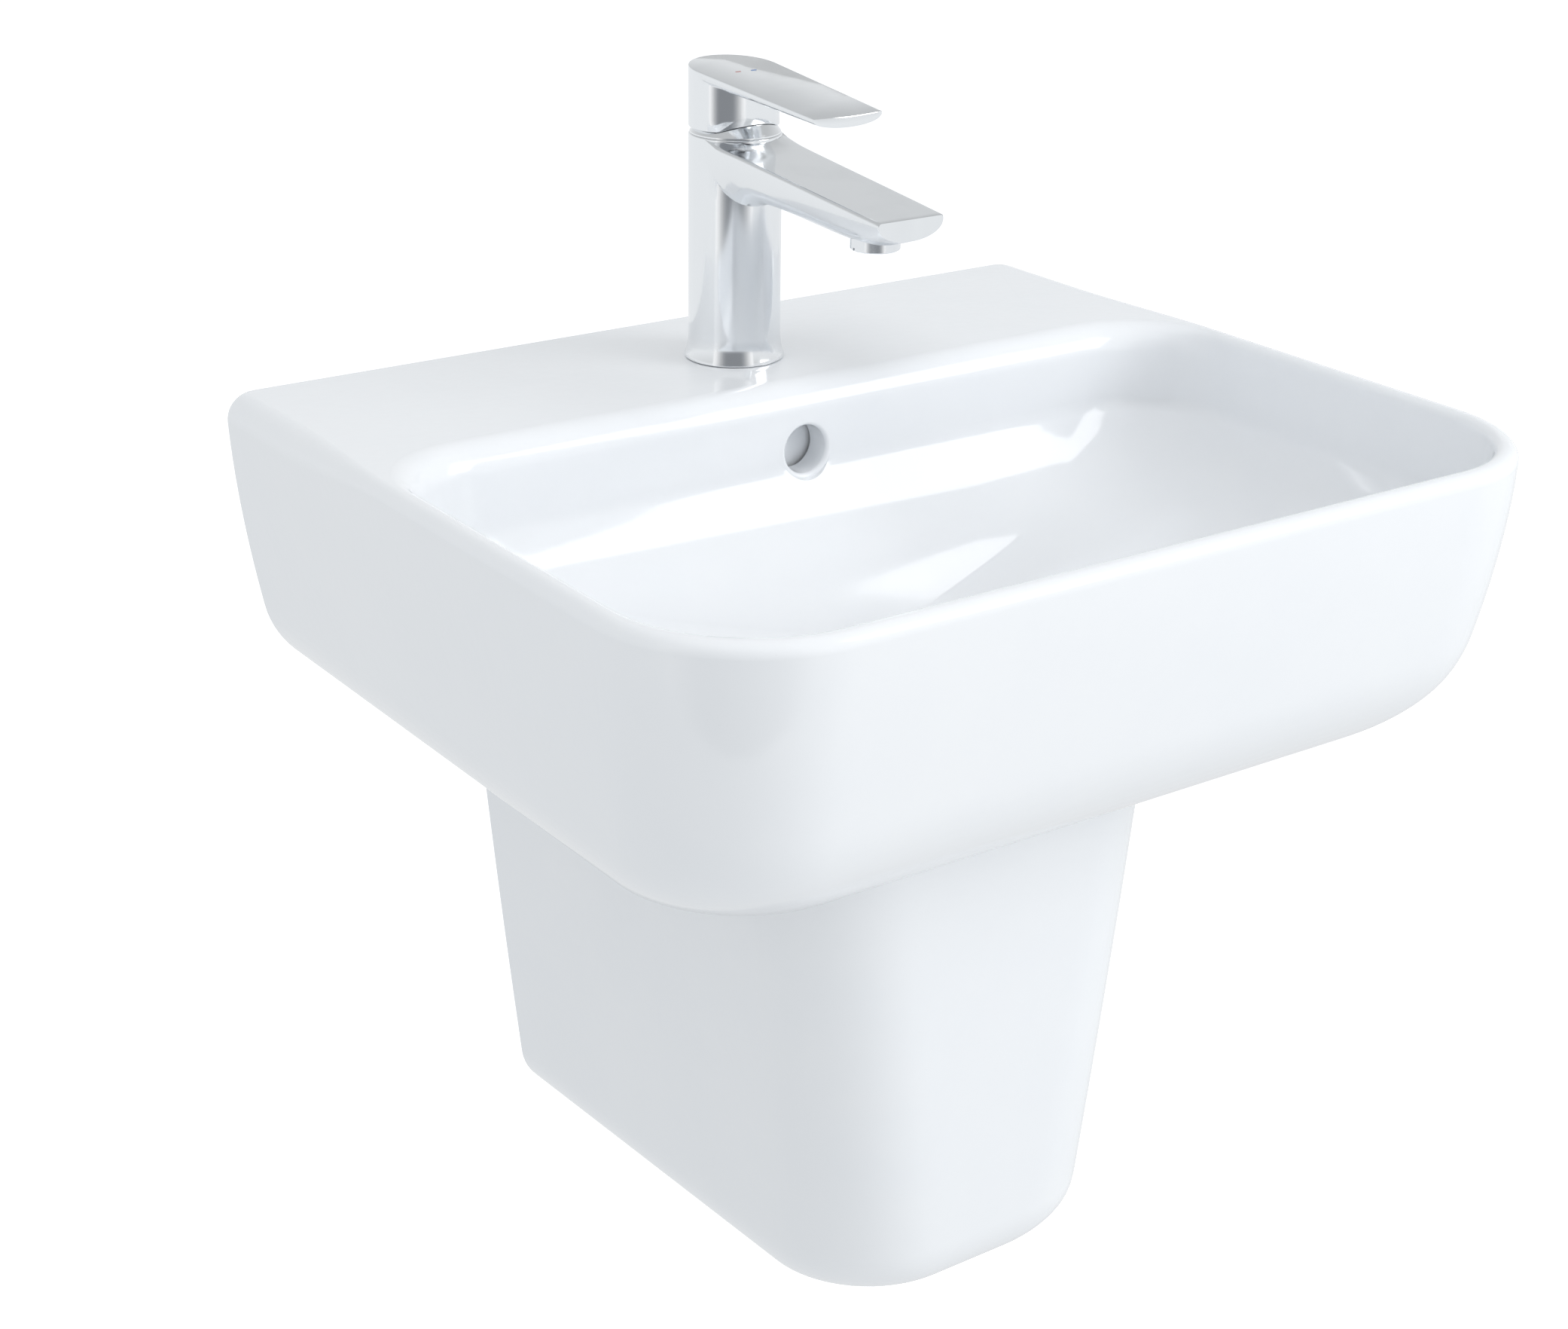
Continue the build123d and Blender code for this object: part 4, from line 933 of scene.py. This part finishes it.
studio = {
    "floorZ": -0.775,         # the rim stands 850 mm above the floor
    "floorTone": (0.86, 0.87, 0.88, 1),
    "floorGlow": 0.55,
    "sky": ((0.0, 0.84), (0.47, 0.93), (0.80, 0.58)),   # below, at the horizon, overhead
    "key": {"place": (1.5, -1.7, 1.25), "size": (1.1, 1.4), "power": 14.0},
    "fill": {"place": (-0.8, -0.3, 2.2), "size": (1.0, 1.0), "power": 11.0},
    "wash": {"place": (1.2, -2.2, 1.0), "size": (2.2, 2.2), "power": 17.0},
    "top": {"place": (0.1, -0.5, 2.3), "size": (2.6, 2.0), "power": 3.0},
    "matt": ("fill", "wash", "top"),   # lights that the gloss does not see
    "flag": {"place": (-0.95, -1.45, 0.15), "size": (3.6, 2.6), "core": 0.25,
             "tone": (0.22, 0.232, 0.25, 1), "edgeTone": (1.0, 1.0, 1.0, 1)},
}
aim = Vector((0.0, -0.2, 0.0))


def softLight(name, values):
    data = bpy.data.lights.new(name, "AREA")
    data.shape = "RECTANGLE"
    data.size, data.size_y = values["size"]
    data.energy = values["power"]
    lamp = bpy.data.objects.new(name, data)
    lamp.location = values["place"]
    lamp.rotation_euler = (aim - Vector(values["place"])).to_track_quat("-Z", "Y").to_euler()
    bpy.context.scene.collection.objects.link(lamp)
    return lamp


for lightName in ("key", "fill", "wash", "top"):
    lamp = softLight(lightName + "Light", studio[lightName])
    lamp.visible_glossy = lightName not in studio["matt"]

sky = Finish("studioWorld", bpy.data.worlds)
skyPlace = sky.node("ShaderNodeTexCoord", {}, {}, "Generated")
skyHeight = sky.node("ShaderNodeSeparateXYZ", {}, {0: skyPlace}, "Z")
skyStops = [(share, (tone * 0.965, tone * 0.985, tone, 1)) for share, tone in studio["sky"]]
skyTone = sky.node("ShaderNodeValToRGB", {"stops": skyStops}, {"Fac": skyHeight * 0.5 + 0.5})
backdrop = sky.node("ShaderNodeBackground", {}, {"Color": skyTone})
sky.node("ShaderNodeOutputWorld", {}, {"Surface": backdrop})
bpy.context.scene.world = sky.owner
bpy.context.scene.view_settings.view_transform = "Standard"


def flatSheet(name, size, place):
    halfWide, halfHigh = size[0] / 2, size[1] / 2
    data = bpy.data.meshes.new(name)
    data.from_pydata([(-halfWide, -halfHigh, 0), (halfWide, -halfHigh, 0),
                      (halfWide, halfHigh, 0), (-halfWide, halfHigh, 0)], [], [(0, 1, 2, 3)])
    sheet = bpy.data.objects.new(name, data)
    sheet.location = place
    bpy.context.scene.collection.objects.link(sheet)
    return sheet


floor = flatSheet("floor", (80.0, 80.0), (0, 0, studio["floorZ"]))
floorFinish = Finish("paleFloor")
floorTint = floorFinish.noise(3.0, 2.0)
floor.data.materials.append(floorFinish.surface({
    "Base Color": floorFinish.blend(floorTint, studio["floorTone"], (0.84, 0.85, 0.86, 1)),
    "Roughness": 0.8,
    "Emission Color": (1, 1, 1, 1),
    "Emission Strength": studio["floorGlow"],
}))
floor.visible_diffuse = False
floor.visible_glossy = False

# a soft grey flag in front, which only the gloss sees, gives the chrome its grey band
flag = flatSheet("flag", studio["flag"]["size"], studio["flag"]["place"])
flag.rotation_euler = (aim - Vector(studio["flag"]["place"])).to_track_quat("Z", "Y").to_euler()
flagFinish = Finish("greyFlag")
flagPlace = flagFinish.node("ShaderNodeTexCoord", {}, {}, "Object")
flagSide = flagFinish.node("ShaderNodeSeparateXYZ", {}, {0: flagPlace}, "X")
flagOff = flagFinish.node("ShaderNodeMath", {"operation": "ABSOLUTE"}, {0: flagSide})
flagShare = flagFinish.node("ShaderNodeMapRange", {"interpolation_type": "SMOOTHSTEP"}, {
    "Value": flagOff + flagFinish.noise(3.0, 2.0) * 0.05,
    "From Min": studio["flag"]["size"][0] * studio["flag"]["core"] / 2,
    "From Max": studio["flag"]["size"][0] / 2,
})
flag.data.materials.append(flagFinish.surface({
    "Base Color": (0.02, 0.02, 0.02, 1),
    "Roughness": 0.9,
    "Emission Color": flagFinish.blend(flagShare, studio["flag"]["tone"], studio["flag"]["edgeTone"]),
    "Emission Strength": 1.0,
}))
flag.visible_camera = False
flag.visible_diffuse = False
flag.visible_shadow = False
print("studio: done")

view = {
    "place": (-0.7491, -1.1809, 0.4592),
    "target": (-0.0414, -0.1818, -0.0514),
    "roll": 0.783,
    "lens": 61.45,
}
cameraData = bpy.data.cameras.new("camera")
cameraData.lens = view["lens"]
cameraData.sensor_width = 36.0
cameraData.clip_start = 0.05
camera = bpy.data.objects.new("camera", cameraData)
camera.location = view["place"]
look = (Vector(view["target"]) - Vector(view["place"])).to_track_quat("-Z", "Y").to_matrix()
forward, side, up = -look.col[2], look.col[0], look.col[1]
roll = math.radians(view["roll"])
turnedSide = side * math.cos(roll) + up * math.sin(roll)
turnedUp = up * math.cos(roll) - side * math.sin(roll)
turned = look.copy()
turned.col[0], turned.col[1], turned.col[2] = turnedSide, turnedUp, -forward
camera.rotation_euler = turned.to_euler()
bpy.context.scene.collection.objects.link(camera)
bpy.context.scene.camera = camera
print("camera: set")
